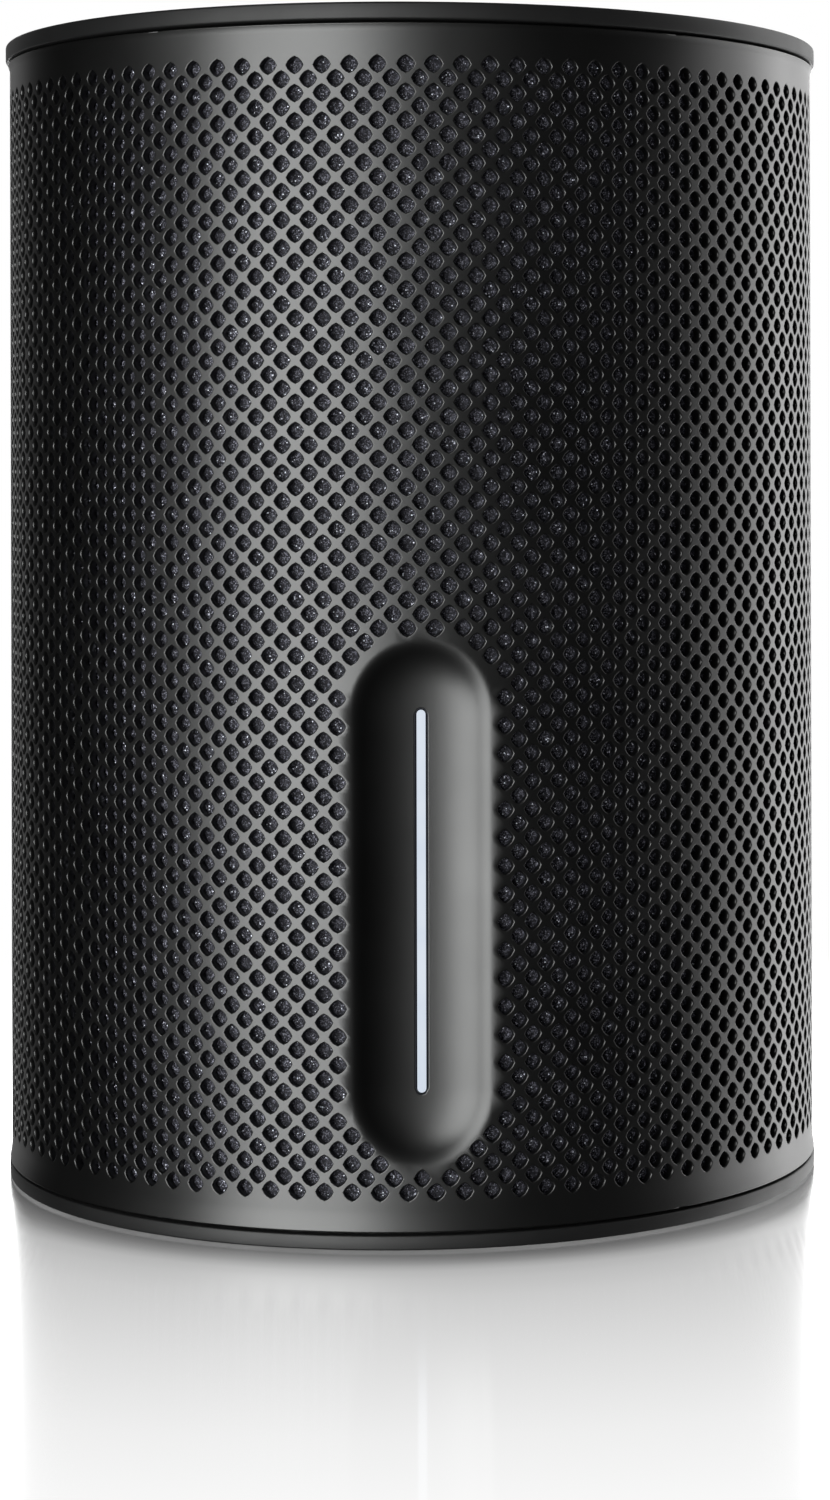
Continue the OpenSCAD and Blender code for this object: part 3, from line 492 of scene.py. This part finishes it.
def port_steel(node):
    """Plated steel round a port's mouth, and dark moulded plastic deep inside it."""
    material = steel(node + "_steel", 0.11, (0.34, 0.46), 600.0)
    tree = material.node_tree
    shader = tree.nodes["Principled BSDF"]
    low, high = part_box(node)
    middle = (low + high) / 2
    deep = tree.nodes.new("ShaderNodeGroup")
    deep.node_tree = LINING
    deep.inputs["Middle X"].default_value = middle.x
    deep.inputs["Middle Z"].default_value = middle.z
    deep.inputs["Half X"].default_value = high.x - middle.x - PORT_SKIN
    deep.inputs["Half Z"].default_value = high.z - middle.z - PORT_SKIN
    deep.inputs["Front Y"].default_value = high.y - PORT_SKIN
    lined = tree.nodes.new("ShaderNodeMix")
    lined.data_type = "RGBA"
    lined.inputs["B"].default_value = (0.012, 0.012, 0.012, 1)
    tree.links.new(shader.inputs["Base Color"].links[0].from_socket, lined.inputs["A"])
    tree.links.new(deep.outputs["Mask"], lined.inputs["Factor"])
    tree.links.new(lined.outputs["Result"], shader.inputs["Base Color"])
    tree.links.new(deep.outputs["Metal"], shader.inputs["Metallic"])
    return material


SLOT_FINISHES = {
    "shell_black": shell_coat(),
    "sleeve_foam": sleeve_foam(),
    "bar_diffuser": lit_diffuser(),
    "cap_black": finish("cap_black", (0.002, 0.002, 0.0021), (0.0035, 0.0035, 0.0036), rough=(0.48, 0.54),
                        scale=6500.0, bump=0.2, depth=0.02 * MM, specular=0.28),
    "base_black": finish("base_black", (0.002, 0.002, 0.0021), (0.0035, 0.0035, 0.0036), rough=(0.48, 0.54),
                         scale=6500.0, bump=0.2, depth=0.02 * MM, specular=0.33),
    "seal_foam": finish("seal_foam", (0.004,) * 3, (0.02,) * 3, rough=(0.8, 0.9), pattern="cells",
                        scale=2500.0, bump=0.6, depth=0.1 * MM, specular=0.2),
    "base_plastic": black_plastic("base_plastic", 0.02, (0.45, 0.55), 2600.0, 0.25),
    "foot_rubber": rubber("foot_rubber", 0.012),
    "ballast_steel": steel("ballast_steel", 0.6, (0.32, 0.45)),
    "frame_plastic": black_plastic("frame_plastic", 0.035, (0.5, 0.62), 1800.0, 0.3),
    "carrier_plastic": black_plastic("carrier_plastic", 0.01, (0.45, 0.5), 2600.0, 0.2),
    "board_white": solder_mask("board_white", (0.55, 0.55, 0.53), (0.66, 0.66, 0.64)),
    "led_package": finish("led_package", (0.8, 0.62, 0.2), (0.9, 0.85, 0.6), rough=(0.3, 0.4),
                          scale=1500.0, bump=0.1),
    "ribbon_film": finish("ribbon_film", (0.35, 0.17, 0.04), (0.55, 0.3, 0.09), rough=(0.22, 0.3),
                          pattern="brushed", scale=700.0, bump=0.2, depth=0.02 * MM),
    "screw_steel": steel("screw_steel", 0.32, (0.35, 0.5), 1400.0),
    "board_green": solder_mask("board_green", (0.008, 0.055, 0.025), (0.02, 0.12, 0.06)),
    "chip_black": black_plastic("chip_black", 0.02, (0.42, 0.5), 3800.0, 0.25),
    "thermal_grey": rubber("thermal_grey", 0.3),
    "sink_aluminium": steel("sink_aluminium", 0.78, (0.28, 0.4), 700.0),
    "can_tin": steel("can_tin", 0.72, (0.24, 0.34), 500.0),
    "part_grey": black_plastic("part_grey", 0.08, (0.4, 0.5), 2000.0, 0.2),
    "connector_nylon": finish("connector_nylon", (0.6, 0.57, 0.48), (0.72, 0.69, 0.6), rough=(0.4, 0.5),
                              scale=2200.0, bump=0.15),
    "contact_gold": finish("contact_gold", (0.85, 0.6, 0.22), (0.95, 0.72, 0.32), rough=(0.18, 0.28),
                           pattern="brushed", scale=900.0, bump=0.05, metallic=1.0),
    "panel_plastic": black_plastic("panel_plastic", 0.014, (0.45, 0.55), 2200.0, 0.35),
    "switch_plastic": black_plastic("switch_plastic", 0.03, (0.4, 0.48), 2600.0, 0.2),
    "plunger_nylon": finish("plunger_nylon", (0.55, 0.52, 0.45), (0.68, 0.65, 0.57), rough=(0.35, 0.42),
                            scale=2600.0, bump=0.12),
    "button_plastic": black_plastic("button_plastic", 0.05, (0.34, 0.42), 3000.0, 0.2),
    "board_blue": solder_mask("board_blue", (0.01, 0.035, 0.12), (0.02, 0.07, 0.2)),
    "lead_grey": rubber("lead_grey", 0.06),
    "chamber_plastic": black_plastic("chamber_plastic", 0.025, (0.5, 0.6), 1900.0, 0.3),
    "basket_steel": black_plastic("basket_steel", 0.03, (0.3, 0.4), 4200.0, 0.15),
    "zinc_steel": steel("zinc_steel", 0.62, (0.28, 0.4)),
    "magnet_ferrite": finish("magnet_ferrite", (0.03,) * 3, (0.07,) * 3, rough=(0.5, 0.65), pattern="cells",
                             scale=1800.0, bump=0.2),
    "spider_cloth": finish("spider_cloth", (0.35, 0.2, 0.05), (0.6, 0.42, 0.15), rough=(0.7, 0.8),
                           pattern="weave", scale=1500.0, bump=0.5, depth=0.1 * MM),
    "coil_copper": finish("coil_copper", (0.6, 0.25, 0.1), (0.8, 0.42, 0.22), rough=(0.25, 0.35),
                          pattern="brushed", scale=1600.0, bump=0.3, metallic=1.0),
    "cone_paper": finish("cone_paper", (0.012,) * 3, (0.035,) * 3, rough=(0.65, 0.78), scale=1400.0, bump=0.4,
                         depth=0.08 * MM),
    "cap_paper": finish("cap_paper", (0.02,) * 3, (0.05,) * 3, rough=(0.6, 0.7), scale=1400.0, bump=0.4,
                        depth=0.08 * MM),
    "surround_rubber": rubber("surround_rubber", 0.02),
    "wire_pvc": finish("wire_pvc", (0.3, 0.02, 0.02), (0.45, 0.04, 0.04), rough=(0.3, 0.38), scale=2000.0,
                       bump=0.08),
}

for part in frame["record"]["subparts"]:
    slot, mesh = part["material_slot"], frame["nodes"][part["node"]].data
    mesh.materials.clear()
    mesh.materials.append(port_steel(part["node"]) if slot == "port_steel" else SLOT_FINISHES[slot])


# ---------------------------------------------------------------- the perforated shell

def sheet_levels():
    """Heights of the sheet's cross lines, from the bottom up: a plain band, the hole rows, a plain band."""
    low, top = shell_low.z, shell_high.z
    bottom_band = [low + LIP_LOW_HEIGHT * share for share in (0.0, 0.15, 0.35, 0.6, 0.85, 1.15)]
    rows = [last_row_z + step * i for i in range(-1, HOLE_ROWS + 1)]
    top_band = [top - LIP_TOP_HEIGHT * share for share in (2.2, 1.1, 0.8, 0.5, 0.25, 0.0)]
    return bottom_band + rows + top_band, len(bottom_band) + 1


def groove_distance(x, z):
    """How far a point lies from the groove's upright middle line."""
    past_end = np.maximum(np.abs(z - groove_mid_z) - groove_end, 0.0)
    return np.sqrt(x ** 2 + past_end ** 2)


def window_span():
    """The window's lower and upper edge, on the nearest hole rows."""
    low = last_row_z + round((panel_low.z - last_row_z) / step) * step
    high = last_row_z + round((panel_high.z - last_row_z) / step) * step
    return low, high


def back_columns(column):
    """How many steps a column lies from the middle of the back."""
    return HOLES_ROUND - abs(column)


def has_hole(column, row, z):
    """Whether a hole is punched where this column of steps crosses this hole row."""
    if not 0 <= row < HOLE_ROWS or (column + HOLE_ROWS - 1 - row) % 2 == 0:
        return False
    if abs(column) < GROOVE_COLUMNS and groove_distance(column * step, z) < GROOVE_CLEAR:
        return False
    low, high = window_span()
    beside = back_columns(column) <= window_columns + 1
    return not (beside and low - 1.5 * step < z < high + 1.5 * step)


def flat_sheet(first, last):
    """A flat grid of steps: x runs round the shell, y is the height, and z will be the depth."""
    levels, first_row = sheet_levels()
    columns = last - first
    bm = bmesh.new()
    bmesh.ops.create_grid(bm, x_segments=columns, y_segments=len(levels) - 1, size=0.5)
    punched = []
    for vert in bm.verts:
        column = first + round((vert.co.x + 0.5) * columns)
        level = round((vert.co.y + 0.5) * (len(levels) - 1))
        vert.co = (column * step, levels[level], 0.0)
        if first < column < last and has_hole(column, level - first_row, levels[level]):
            punched.append(vert)
    return bm, punched


def punch(bm, centres):
    made = bmesh.ops.bevel(bm, geom=centres, offset=HOLE_HALF, offset_type="OFFSET",
                           segments=HOLE_SIDE_STEPS, profile=(1 - HOLE_BULGE) ** 2, affect="VERTICES",
                           clamp_overlap=False, material=-1)
    bmesh.ops.delete(bm, geom=made["faces"], context="FACES_ONLY")


SLOT_HALF = BAR_WIDTH / 2 + BAR_GAP
GROOVE_CUTS = 3
SLOT_COLUMNS = 2                    # small columns each side of the middle that make up the slot
EASE_COLUMNS = 4                    # the columns' squeeze towards the slot has faded out here
EASE_ROWS = 6                       # and the rows' shift towards its ends has faded out here
SNAP = 0.001


def fine_groove(bm):
    """Splits the plain part of the sheet finely where it bends into the groove, and opens the bar's slot."""
    plain = []
    for face in bm.faces:
        middle = face.calc_center_median()
        if len(face.verts) == 4 and groove_distance(middle.x, middle.y) < GROOVE_CLEAR + step / 2:
            plain.append(face)
    edges = list({e for f in plain for e in f.edges})
    bmesh.ops.subdivide_edges(bm, edges=edges, cuts=GROOVE_CUTS, use_grid_fill=True)
    small = step / (GROOVE_CUTS + 1)
    straight = bar_half + BAR_GAP - SLOT_HALF
    ends = []
    for side in (-1, 1):
        target = groove_mid_z + side * straight
        nearest = last_row_z + round((target - last_row_z) / small) * small
        ends.append((side, target, nearest))
    low, high = ends[0][2], ends[1][2]
    opening = [f for f in bm.faces if abs(f.calc_center_median().x) < SLOT_COLUMNS * small
               and low < f.calc_center_median().y < high]
    bmesh.ops.delete(bm, geom=opening, context="FACES")
    slot_edge, ease_edge, reach = SLOT_COLUMNS * small, EASE_COLUMNS * small, EASE_ROWS * small
    for vert in bm.verts:
        x, z = vert.co.x, vert.co.y
        if abs(x) > ease_edge + small / 2:
            continue
        if abs(x) <= slot_edge + SNAP * small:
            x = x / slot_edge * SLOT_HALF
        elif abs(x) < ease_edge:
            share = (abs(x) - slot_edge) / (ease_edge - slot_edge)
            x = math.copysign(SLOT_HALF + share * (ease_edge - SLOT_HALF), x)
        for side, target, nearest in ends:
            past = (z - nearest) * side
            near = max(0.0, 1 - abs(past) / reach)
            z += (target - nearest) * near
            if past > -small / 2:
                z += side * math.sqrt(max(SLOT_HALF ** 2 - x ** 2, 0.0)) * near ** 2
        vert.co.x, vert.co.y = x, z


def open_window(bm):
    low, high = window_span()
    edge = (HOLES_ROUND - window_columns) * step
    inside = [f for f in bm.faces if abs(f.calc_center_median().x) > edge
              and low < f.calc_center_median().y < high]
    bmesh.ops.delete(bm, geom=inside, context="FACES")


def thicken(bm):
    """Gives the flat sheet its wall, then rounds every outer rim."""
    made = bmesh.ops.extrude_face_region(bm, geom=bm.faces[:])
    back = [g for g in made["geom"] if isinstance(g, bmesh.types.BMVert)]
    bmesh.ops.translate(bm, verts=back, vec=(0, 0, -WALL))
    bmesh.ops.recalc_face_normals(bm, faces=bm.faces[:])
    tiny = WALL / 100
    rims = [e for e in bm.edges if len(e.link_faces) == 2
            and all(abs(v.co.z) < tiny for v in e.verts)
            and any(min(v.co.z for v in f.verts) < -tiny for f in e.link_faces)]
    bmesh.ops.bevel(bm, geom=rims, offset=RIM_ROUND, offset_type="OFFSET", segments=2, profile=0.5,
                    affect="EDGES", clamp_overlap=False, material=-1)


def trim(bm, first, last):
    """Cuts the sheet back to its own columns and closes the cut."""
    spare = [f for f in bm.faces
             if not first * step < f.calc_center_median().x < last * step]
    bmesh.ops.delete(bm, geom=spare, context="FACES")
    cut = [e for e in bm.edges if e.is_boundary]
    bmesh.ops.holes_fill(bm, edges=cut, sides=0)


def smooth_max(a, b, softness):
    blend = np.clip(0.5 + 0.5 * (a - b) / softness, 0.0, 1.0)
    return b + (a - b) * blend + softness * blend * (1 - blend)


def lip(z):
    """How far the shell flares out at a height."""
    low = np.clip(1 - (z - shell_low.z) / LIP_LOW_HEIGHT, 0.0, 1.0)
    top = np.clip(1 - (shell_high.z - z) / LIP_TOP_HEIGHT, 0.0, 1.0)
    return LIP_FLARE * (low ** LIP_CURVE + top ** LIP_CURVE)


def wrap(flat):
    """Carries points of the flat sheet onto the round shell and into the groove."""
    around, z, depth = flat[:, 0] / shell_radius, flat[:, 1], flat[:, 2]
    radius = shell_radius + lip(z) + depth
    x = radius * np.sin(around)
    y = -radius * np.cos(around)
    in_front = np.abs(around) < FRONT_TURN
    share = groove_distance(x, z) / (GROOVE_WIDTH / 2 - depth)
    hollow = groove_depth - shell_radius - depth - groove_drop * groove_hollow(share)
    y = np.where(in_front & (share < GROOVE_PULL), smooth_max(hollow, y, GROOVE_SOFTNESS), y)
    return np.column_stack([x, y, z])


def outward(flat):
    """The surface's true direction at points of the flat sheet."""
    nudge = 0.02 * MM
    along = wrap(flat + (nudge, 0, 0)) - wrap(flat - (nudge, 0, 0))
    up = wrap(flat + (0, nudge, 0)) - wrap(flat - (0, nudge, 0))
    normal = np.cross(along, up)
    return normal / np.linalg.norm(normal, axis=1)[:, None]


def shell_sector(name, first, last, material):
    bm, centres = flat_sheet(first - 1, last + 1)
    punch(bm, centres)
    if first <= 0 <= last:
        fine_groove(bm)
    open_window(bm)
    thicken(bm)
    trim(bm, first, last)
    bmesh.ops.recalc_face_normals(bm, faces=bm.faces[:])
    obj = new_object(name, bm)
    mesh = obj.data
    flat = np.zeros(len(mesh.vertices) * 3)
    mesh.vertices.foreach_get("co", flat)
    flat = flat.reshape(-1, 3)
    mesh.vertices.foreach_set("co", wrap(flat).astype(np.float32).ravel())
    mesh.update()
    mesh.set_sharp_from_angle(angle=HOLE_SHARP)
    on_face = np.abs(flat[:, 2]) < WALL / 100
    normals = np.where(on_face[:, None], outward(flat), 0.0)
    mesh.normals_split_custom_set_from_vertices(normals.tolist())
    return put(obj, material)


def build_shell():
    """The shell in equal sectors; a sector's columns count from the front, and wrap at the back."""
    names = ("front", "front_right", "back_right", "back_left", "front_left")
    columns = 2 * HOLES_ROUND // len(names)
    for sector, name in enumerate(names):
        turned_on = sector * columns - columns // 2
        first = (turned_on + HOLES_ROUND) % (2 * HOLES_ROUND) - HOLES_ROUND
        piece = shell_sector("shell_" + name, first, first + columns, SLOT_FINISHES["shell_black"])
        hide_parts("perforated_shell")


# ---------------------------------------------------------------- the foam sleeve

FOAM_WALL = 2.94 * MM
FOAM_RELIEF = 0.12 * MM
FOAM_COLUMNS = 240
FOAM_ROWS = 100
FOAM_GROOVE_CLEAR = 9.6 * MM
FOAM_SEED = 7


def build_foam():
    """The sleeve behind the holes: a slightly uneven soft tube, cut away round the groove and the window."""
    radius = sleeve_high.x
    low, high = sleeve_low.z, sleeve_high.z
    around = 2 * math.pi * radius
    bm = bmesh.new()
    bmesh.ops.create_grid(bm, x_segments=FOAM_COLUMNS, y_segments=FOAM_ROWS, size=0.5)
    for vert in bm.verts:
        vert.co = (vert.co.x * around, low + (vert.co.y + 0.5) * (high - low), 0.0)
    window_top = window_span()[1] + step
    window_edge = around / 2 - (window_columns + 0.5) * step_angle * radius
    opening = []
    for face in bm.faces:
        middle = face.calc_center_median()
        by_groove = groove_distance(middle.x, middle.y) < FOAM_GROOVE_CLEAR
        if by_groove or (abs(middle.x) > window_edge and middle.y < window_top):
            opening.append(face)
    bmesh.ops.delete(bm, geom=opening, context="FACES")
    made = bmesh.ops.extrude_face_region(bm, geom=bm.faces[:])
    back = [g for g in made["geom"] if isinstance(g, bmesh.types.BMVert)]
    bmesh.ops.translate(bm, verts=back, vec=(0, 0, -FOAM_WALL))
    chance = np.random.default_rng(FOAM_SEED)
    for vert in bm.verts:
        angle = vert.co.x / radius
        reach = radius + vert.co.z - chance.random() * FOAM_RELIEF
        vert.co = (reach * math.sin(angle), -reach * math.cos(angle), vert.co.y)
    bmesh.ops.recalc_face_normals(bm, faces=bm.faces[:])
    foam = new_object("foam_tube", bm)
    foam.data.set_sharp_from_angle(angle=math.radians(50))
    put(foam, SLOT_FINISHES["sleeve_foam"], replaces=["foam_sleeve"])


# ---------------------------------------------------------------- turned and moulded pieces

def turned(name, outline, material, replaces, edge=0.3 * MM, steps=256):
    """A ring or disc spun from its half outline of (radius, height) points, with its sharp edges eased."""
    bm = bmesh.new()
    verts = [bm.verts.new((r, 0, z)) for r, z in outline]
    closed = outline[0][0] > 0
    pairs = zip(verts, verts[1:] + verts[:1]) if closed else zip(verts, verts[1:])
    edges = [bm.edges.new(pair) for pair in pairs]
    bmesh.ops.spin(bm, geom=verts + edges, cent=(0, 0, 0), axis=(0, 0, 1), dvec=(0, 0, 0),
                   angle=2 * math.pi, steps=steps, use_merge=True, use_duplicate=False)
    bmesh.ops.remove_doubles(bm, verts=bm.verts[:], dist=0.001 * MM)
    bmesh.ops.recalc_face_normals(bm, faces=bm.faces[:])
    sharp = [e for e in bm.edges if len(e.link_faces) == 2 and e.calc_face_angle() > math.radians(35)]
    bmesh.ops.bevel(bm, geom=sharp, offset=edge, offset_type="OFFSET", segments=3, profile=0.5,
                    affect="EDGES", clamp_overlap=True, material=-1)
    obj = new_object(name, bm)
    obj.data.set_sharp_from_angle(angle=math.radians(40))
    return put(obj, material, replaces=replaces)


CAP_THICKNESS = 2.4 * MM
SPIGOT_GAP = 0.2 * MM
SPIGOT_WALL = 2 * MM
RING_WIDTH = 6 * MM
FOOT_WIDTH = 11.3 * MM


def build_cap():
    spigot_out = shell_high.x - LIP_FLARE - WALL - SPIGOT_GAP
    spigot_in = spigot_out - SPIGOT_WALL
    under = cap_high.z - CAP_THICKNESS
    outline = [(0, under), (spigot_in, under), (spigot_in, cap_low.z), (spigot_out, cap_low.z),
               (spigot_out, under), (cap_high.x, under), (cap_high.x, cap_high.z), (0, cap_high.z)]
    turned("cap_disc", outline, SLOT_FINISHES["cap_black"], ["top_cap"], edge=0.35 * MM)


def build_base():
    inner = shell_radius - RING_WIDTH
    outline = [(inner, ring_low.z), (ring_high.x, ring_low.z), (ring_high.x, ring_high.z),
               (inner, ring_high.z)]
    turned("base_trim", outline, SLOT_FINISHES["base_black"], ["base_ring"], edge=0.25 * MM)
    foot_out, foot_in = foot_high.x, foot_high.x - FOOT_WIDTH
    outline = [(foot_in, foot_low.z), (foot_out, foot_low.z), (foot_out, foot_high.z),
               (foot_in, foot_high.z)]
    turned("foot_pad", outline, SLOT_FINISHES["foot_rubber"], ["rubber_foot"],
           edge=0.35 * MM)


build_shell()
build_foam()
build_cap()
build_base()


# ---------------------------------------------------------------- floor, light and camera

def by_radius(tree, stops):
    """A tone that follows the distance from the middle of the floor."""
    apart = tree.nodes.new("ShaderNodeVectorMath")
    apart.operation = "LENGTH"
    tree.links.new(tree.nodes.new("ShaderNodeTexCoord").outputs["Object"], apart.inputs[0])
    reach = tree.nodes.new("ShaderNodeMapRange")
    tree.links.new(apart.outputs["Value"], reach.inputs["Value"])
    reach.inputs["From Max"].default_value = FLOOR_FADE
    shade = tree.nodes.new("ShaderNodeValToRGB")
    tree.links.new(reach.outputs["Result"], shade.inputs["Fac"])
    elements = shade.color_ramp.elements
    elements.remove(elements[1])
    elements[0].color = (stops[0][1],) * 3 + (1,)
    for radius, tone in stops:
        elements.new(radius * MM / FLOOR_FADE).color = (tone, tone, tone, 1)
    return shade.outputs["Color"]


FLOOR_FADE = 220 * MM
# Tones and mirror shares of the floor at distances from its middle, in mm
# CONTACT_SHADOW is a painted shadow: it darkens the floor's glow round the hub
CONTACT_SHADOW = [(58, 0.03), (61, 0.2), (63.5, 0.32), (66, 0.5), (68, 0.7), (70.5, 0.87), (75, 0.95),
                  (84, 1.0)]
MIRRORING = [(60, 0.5), (72, 0.47), (90, 0.38), (114, 0.27), (144, 0.14), (172, 0.06), (215, 0.0)]
FLOOR_RADIUS = 4.0
FLOOR_ROUGHNESS = 0.11
FLOOR_BLUR = 0.7                    # how much further the mirroring blurs away from the hub than across


def pale_floor():
    bm = bmesh.new()
    bmesh.ops.create_circle(bm, cap_ends=True, segments=96, radius=FLOOR_RADIUS)
    bmesh.ops.inset_region(bm, faces=bm.faces[:], thickness=FLOOR_RADIUS / 2)
    floor = new_object("floor", bm, smooth=False)
    material = bpy.data.materials.new("floor_white")
    material.use_nodes = True
    tree = material.node_tree
    tree.nodes.clear()
    glow = tree.nodes.new("ShaderNodeEmission")
    # The glow's tone carries the painted contact shadow
    tree.links.new(by_radius(tree, CONTACT_SHADOW), glow.inputs["Color"])
    mirror = tree.nodes.new("ShaderNodeBsdfGlossy")
    mirror.inputs["Color"].default_value = (1, 1, 1, 1)
    mirror.inputs["Roughness"].default_value = FLOOR_ROUGHNESS
    mirror.inputs["Anisotropy"].default_value = FLOOR_BLUR
    outwards = tree.nodes.new("ShaderNodeTangent")
    outwards.direction_type = "RADIAL"
    outwards.axis = "Z"
    tree.links.new(outwards.outputs[0], mirror.inputs["Tangent"])
    blend = tree.nodes.new("ShaderNodeMixShader")
    tree.links.new(by_radius(tree, MIRRORING), blend.inputs[0])
    tree.links.new(glow.outputs[0], blend.inputs[1])
    tree.links.new(mirror.outputs[0], blend.inputs[2])
    out = tree.nodes.new("ShaderNodeOutputMaterial")
    tree.links.new(blend.outputs[0], out.inputs["Surface"])
    floor.data.materials.append(material)
    floor.visible_glossy = False
    floor.visible_shadow = False
    return floor


def backdrop(floor):
    """A white wall all round, lit for the floor's mirroring alone so that the hub's dark side stays dark."""
    bm = bmesh.new()
    bmesh.ops.create_cone(bm, cap_ends=False, segments=64, radius1=3.0, radius2=3.0, depth=4.0)
    bmesh.ops.translate(bm, verts=bm.verts[:], vec=(0, 0, 1.95))
    wall = new_object("backdrop", bm, smooth=False)
    material = bpy.data.materials.new("backdrop_white")
    material.use_nodes = True
    tree = material.node_tree
    tree.nodes.clear()
    glow = tree.nodes.new("ShaderNodeEmission")
    glow.inputs["Color"].default_value = (1, 1, 1, 1)
    out = tree.nodes.new("ShaderNodeOutputMaterial")
    tree.links.new(glow.outputs[0], out.inputs["Surface"])
    wall.data.materials.append(material)
    wall.visible_camera = False
    wall.visible_diffuse = False
    wall.visible_shadow = False
    only_floor = bpy.data.collections.new("lit_by_backdrop")
    only_floor.objects.link(floor)
    wall.light_linking.receiver_collection = only_floor


def softbox(name, azimuth, height, distance, width, tall, watts, colour=(1, 1, 1)):
    """An upright area light; azimuth 0 is in front of the hub and 90 is on its right."""
    light = bpy.data.lights.new(name, "AREA")
    light.shape = "RECTANGLE"
    light.size = width
    light.size_y = tall
    light.energy = watts
    light.color = colour
    obj = bpy.data.objects.new(name, light)
    bpy.context.scene.collection.objects.link(obj)
    turn = math.radians(azimuth)
    place = Vector((math.sin(turn) * distance, -math.cos(turn) * distance, height))
    obj.location = place
    aim = Vector((0, 0, height)) - place
    obj.rotation_euler = aim.to_track_quat("-Z", "Y").to_euler()
    obj.visible_camera = False
    return obj


def overhead(watts):
    light = bpy.data.lights.new("overhead", "AREA")
    light.shape = "DISK"
    light.size = 1.6
    light.energy = watts
    obj = bpy.data.objects.new("overhead", light)
    obj.location = (0, 0.2, 1.6)
    obj.visible_camera = False
    bpy.context.scene.collection.objects.link(obj)


def studio_world():
    """White behind everything the camera sees, and a dim even room for the rest."""
    world = bpy.data.worlds.new("studio")
    world.use_nodes = True
    tree = world.node_tree
    tree.nodes.clear()
    path = tree.nodes.new("ShaderNodeLightPath")
    seen = tree.nodes.new("ShaderNodeBackground")
    seen.inputs["Color"].default_value = (1, 1, 1, 1)
    room = tree.nodes.new("ShaderNodeBackground")
    room.inputs["Color"].default_value = (0.003, 0.003, 0.0032, 1)
    mix = tree.nodes.new("ShaderNodeMixShader")
    out = tree.nodes.new("ShaderNodeOutputWorld")
    tree.links.new(path.outputs["Is Camera Ray"], mix.inputs[0])
    tree.links.new(room.outputs[0], mix.inputs[1])
    tree.links.new(seen.outputs[0], mix.inputs[2])
    tree.links.new(mix.outputs[0], out.inputs["Surface"])
    bpy.context.scene.world = world


CAMERA_DISTANCE = 0.5102
CAMERA_HEIGHT = 0.107
CAMERA_AZIMUTH = -0.95              # degrees; the camera stands a little to the left of the groove
CAMERA_TURN = -3.157                # and looks a little past the hub's right
CAMERA_ROLL = -0.138
CAMERA_LENS = 80.81
CAMERA_SHIFT = (-0.1227, -0.1996)


def place_camera():
    data = bpy.data.cameras.new("camera")
    data.sensor_width = 36.0
    data.lens = CAMERA_LENS
    data.shift_x, data.shift_y = CAMERA_SHIFT
    data.clip_start = 0.02
    data.clip_end = 20
    camera = bpy.data.objects.new("camera", data)
    bpy.context.scene.collection.objects.link(camera)
    turn = math.radians(CAMERA_AZIMUTH)
    place = Vector((math.sin(turn) * CAMERA_DISTANCE, -math.cos(turn) * CAMERA_DISTANCE, CAMERA_HEIGHT))
    heading = turn + math.radians(CAMERA_TURN)
    facing = Matrix.Rotation(heading, 4, "Z") @ Matrix.Rotation(math.radians(90), 4, "X")
    camera.matrix_world = Matrix.Translation(place) @ facing @ Matrix.Rotation(
        math.radians(CAMERA_ROLL), 4, "Z")
    bpy.context.scene.camera = camera


studio_world()
backdrop(pale_floor())
softbox("key", -32, 0.1, 0.9, 0.68, 0.9, 20, (0.985, 1.0, 0.99))
softbox("right_side", 100, 0.1, 1.0, 0.5, 1.6, 5)
softbox("right_middle", 122, 0.1, 1.0, 0.35, 1.6, 7)
softbox("right_back", 145, 0.1, 1.0, 0.5, 1.6, 4.6)
softbox("left_back", -150, 0.1, 1.1, 0.5, 1.2, 0.8)
softbox("behind", 178, 0.1, 1.0, 0.6, 1.4, 14)
overhead(2)
place_camera()
bpy.context.scene.view_settings.view_transform = "Standard"
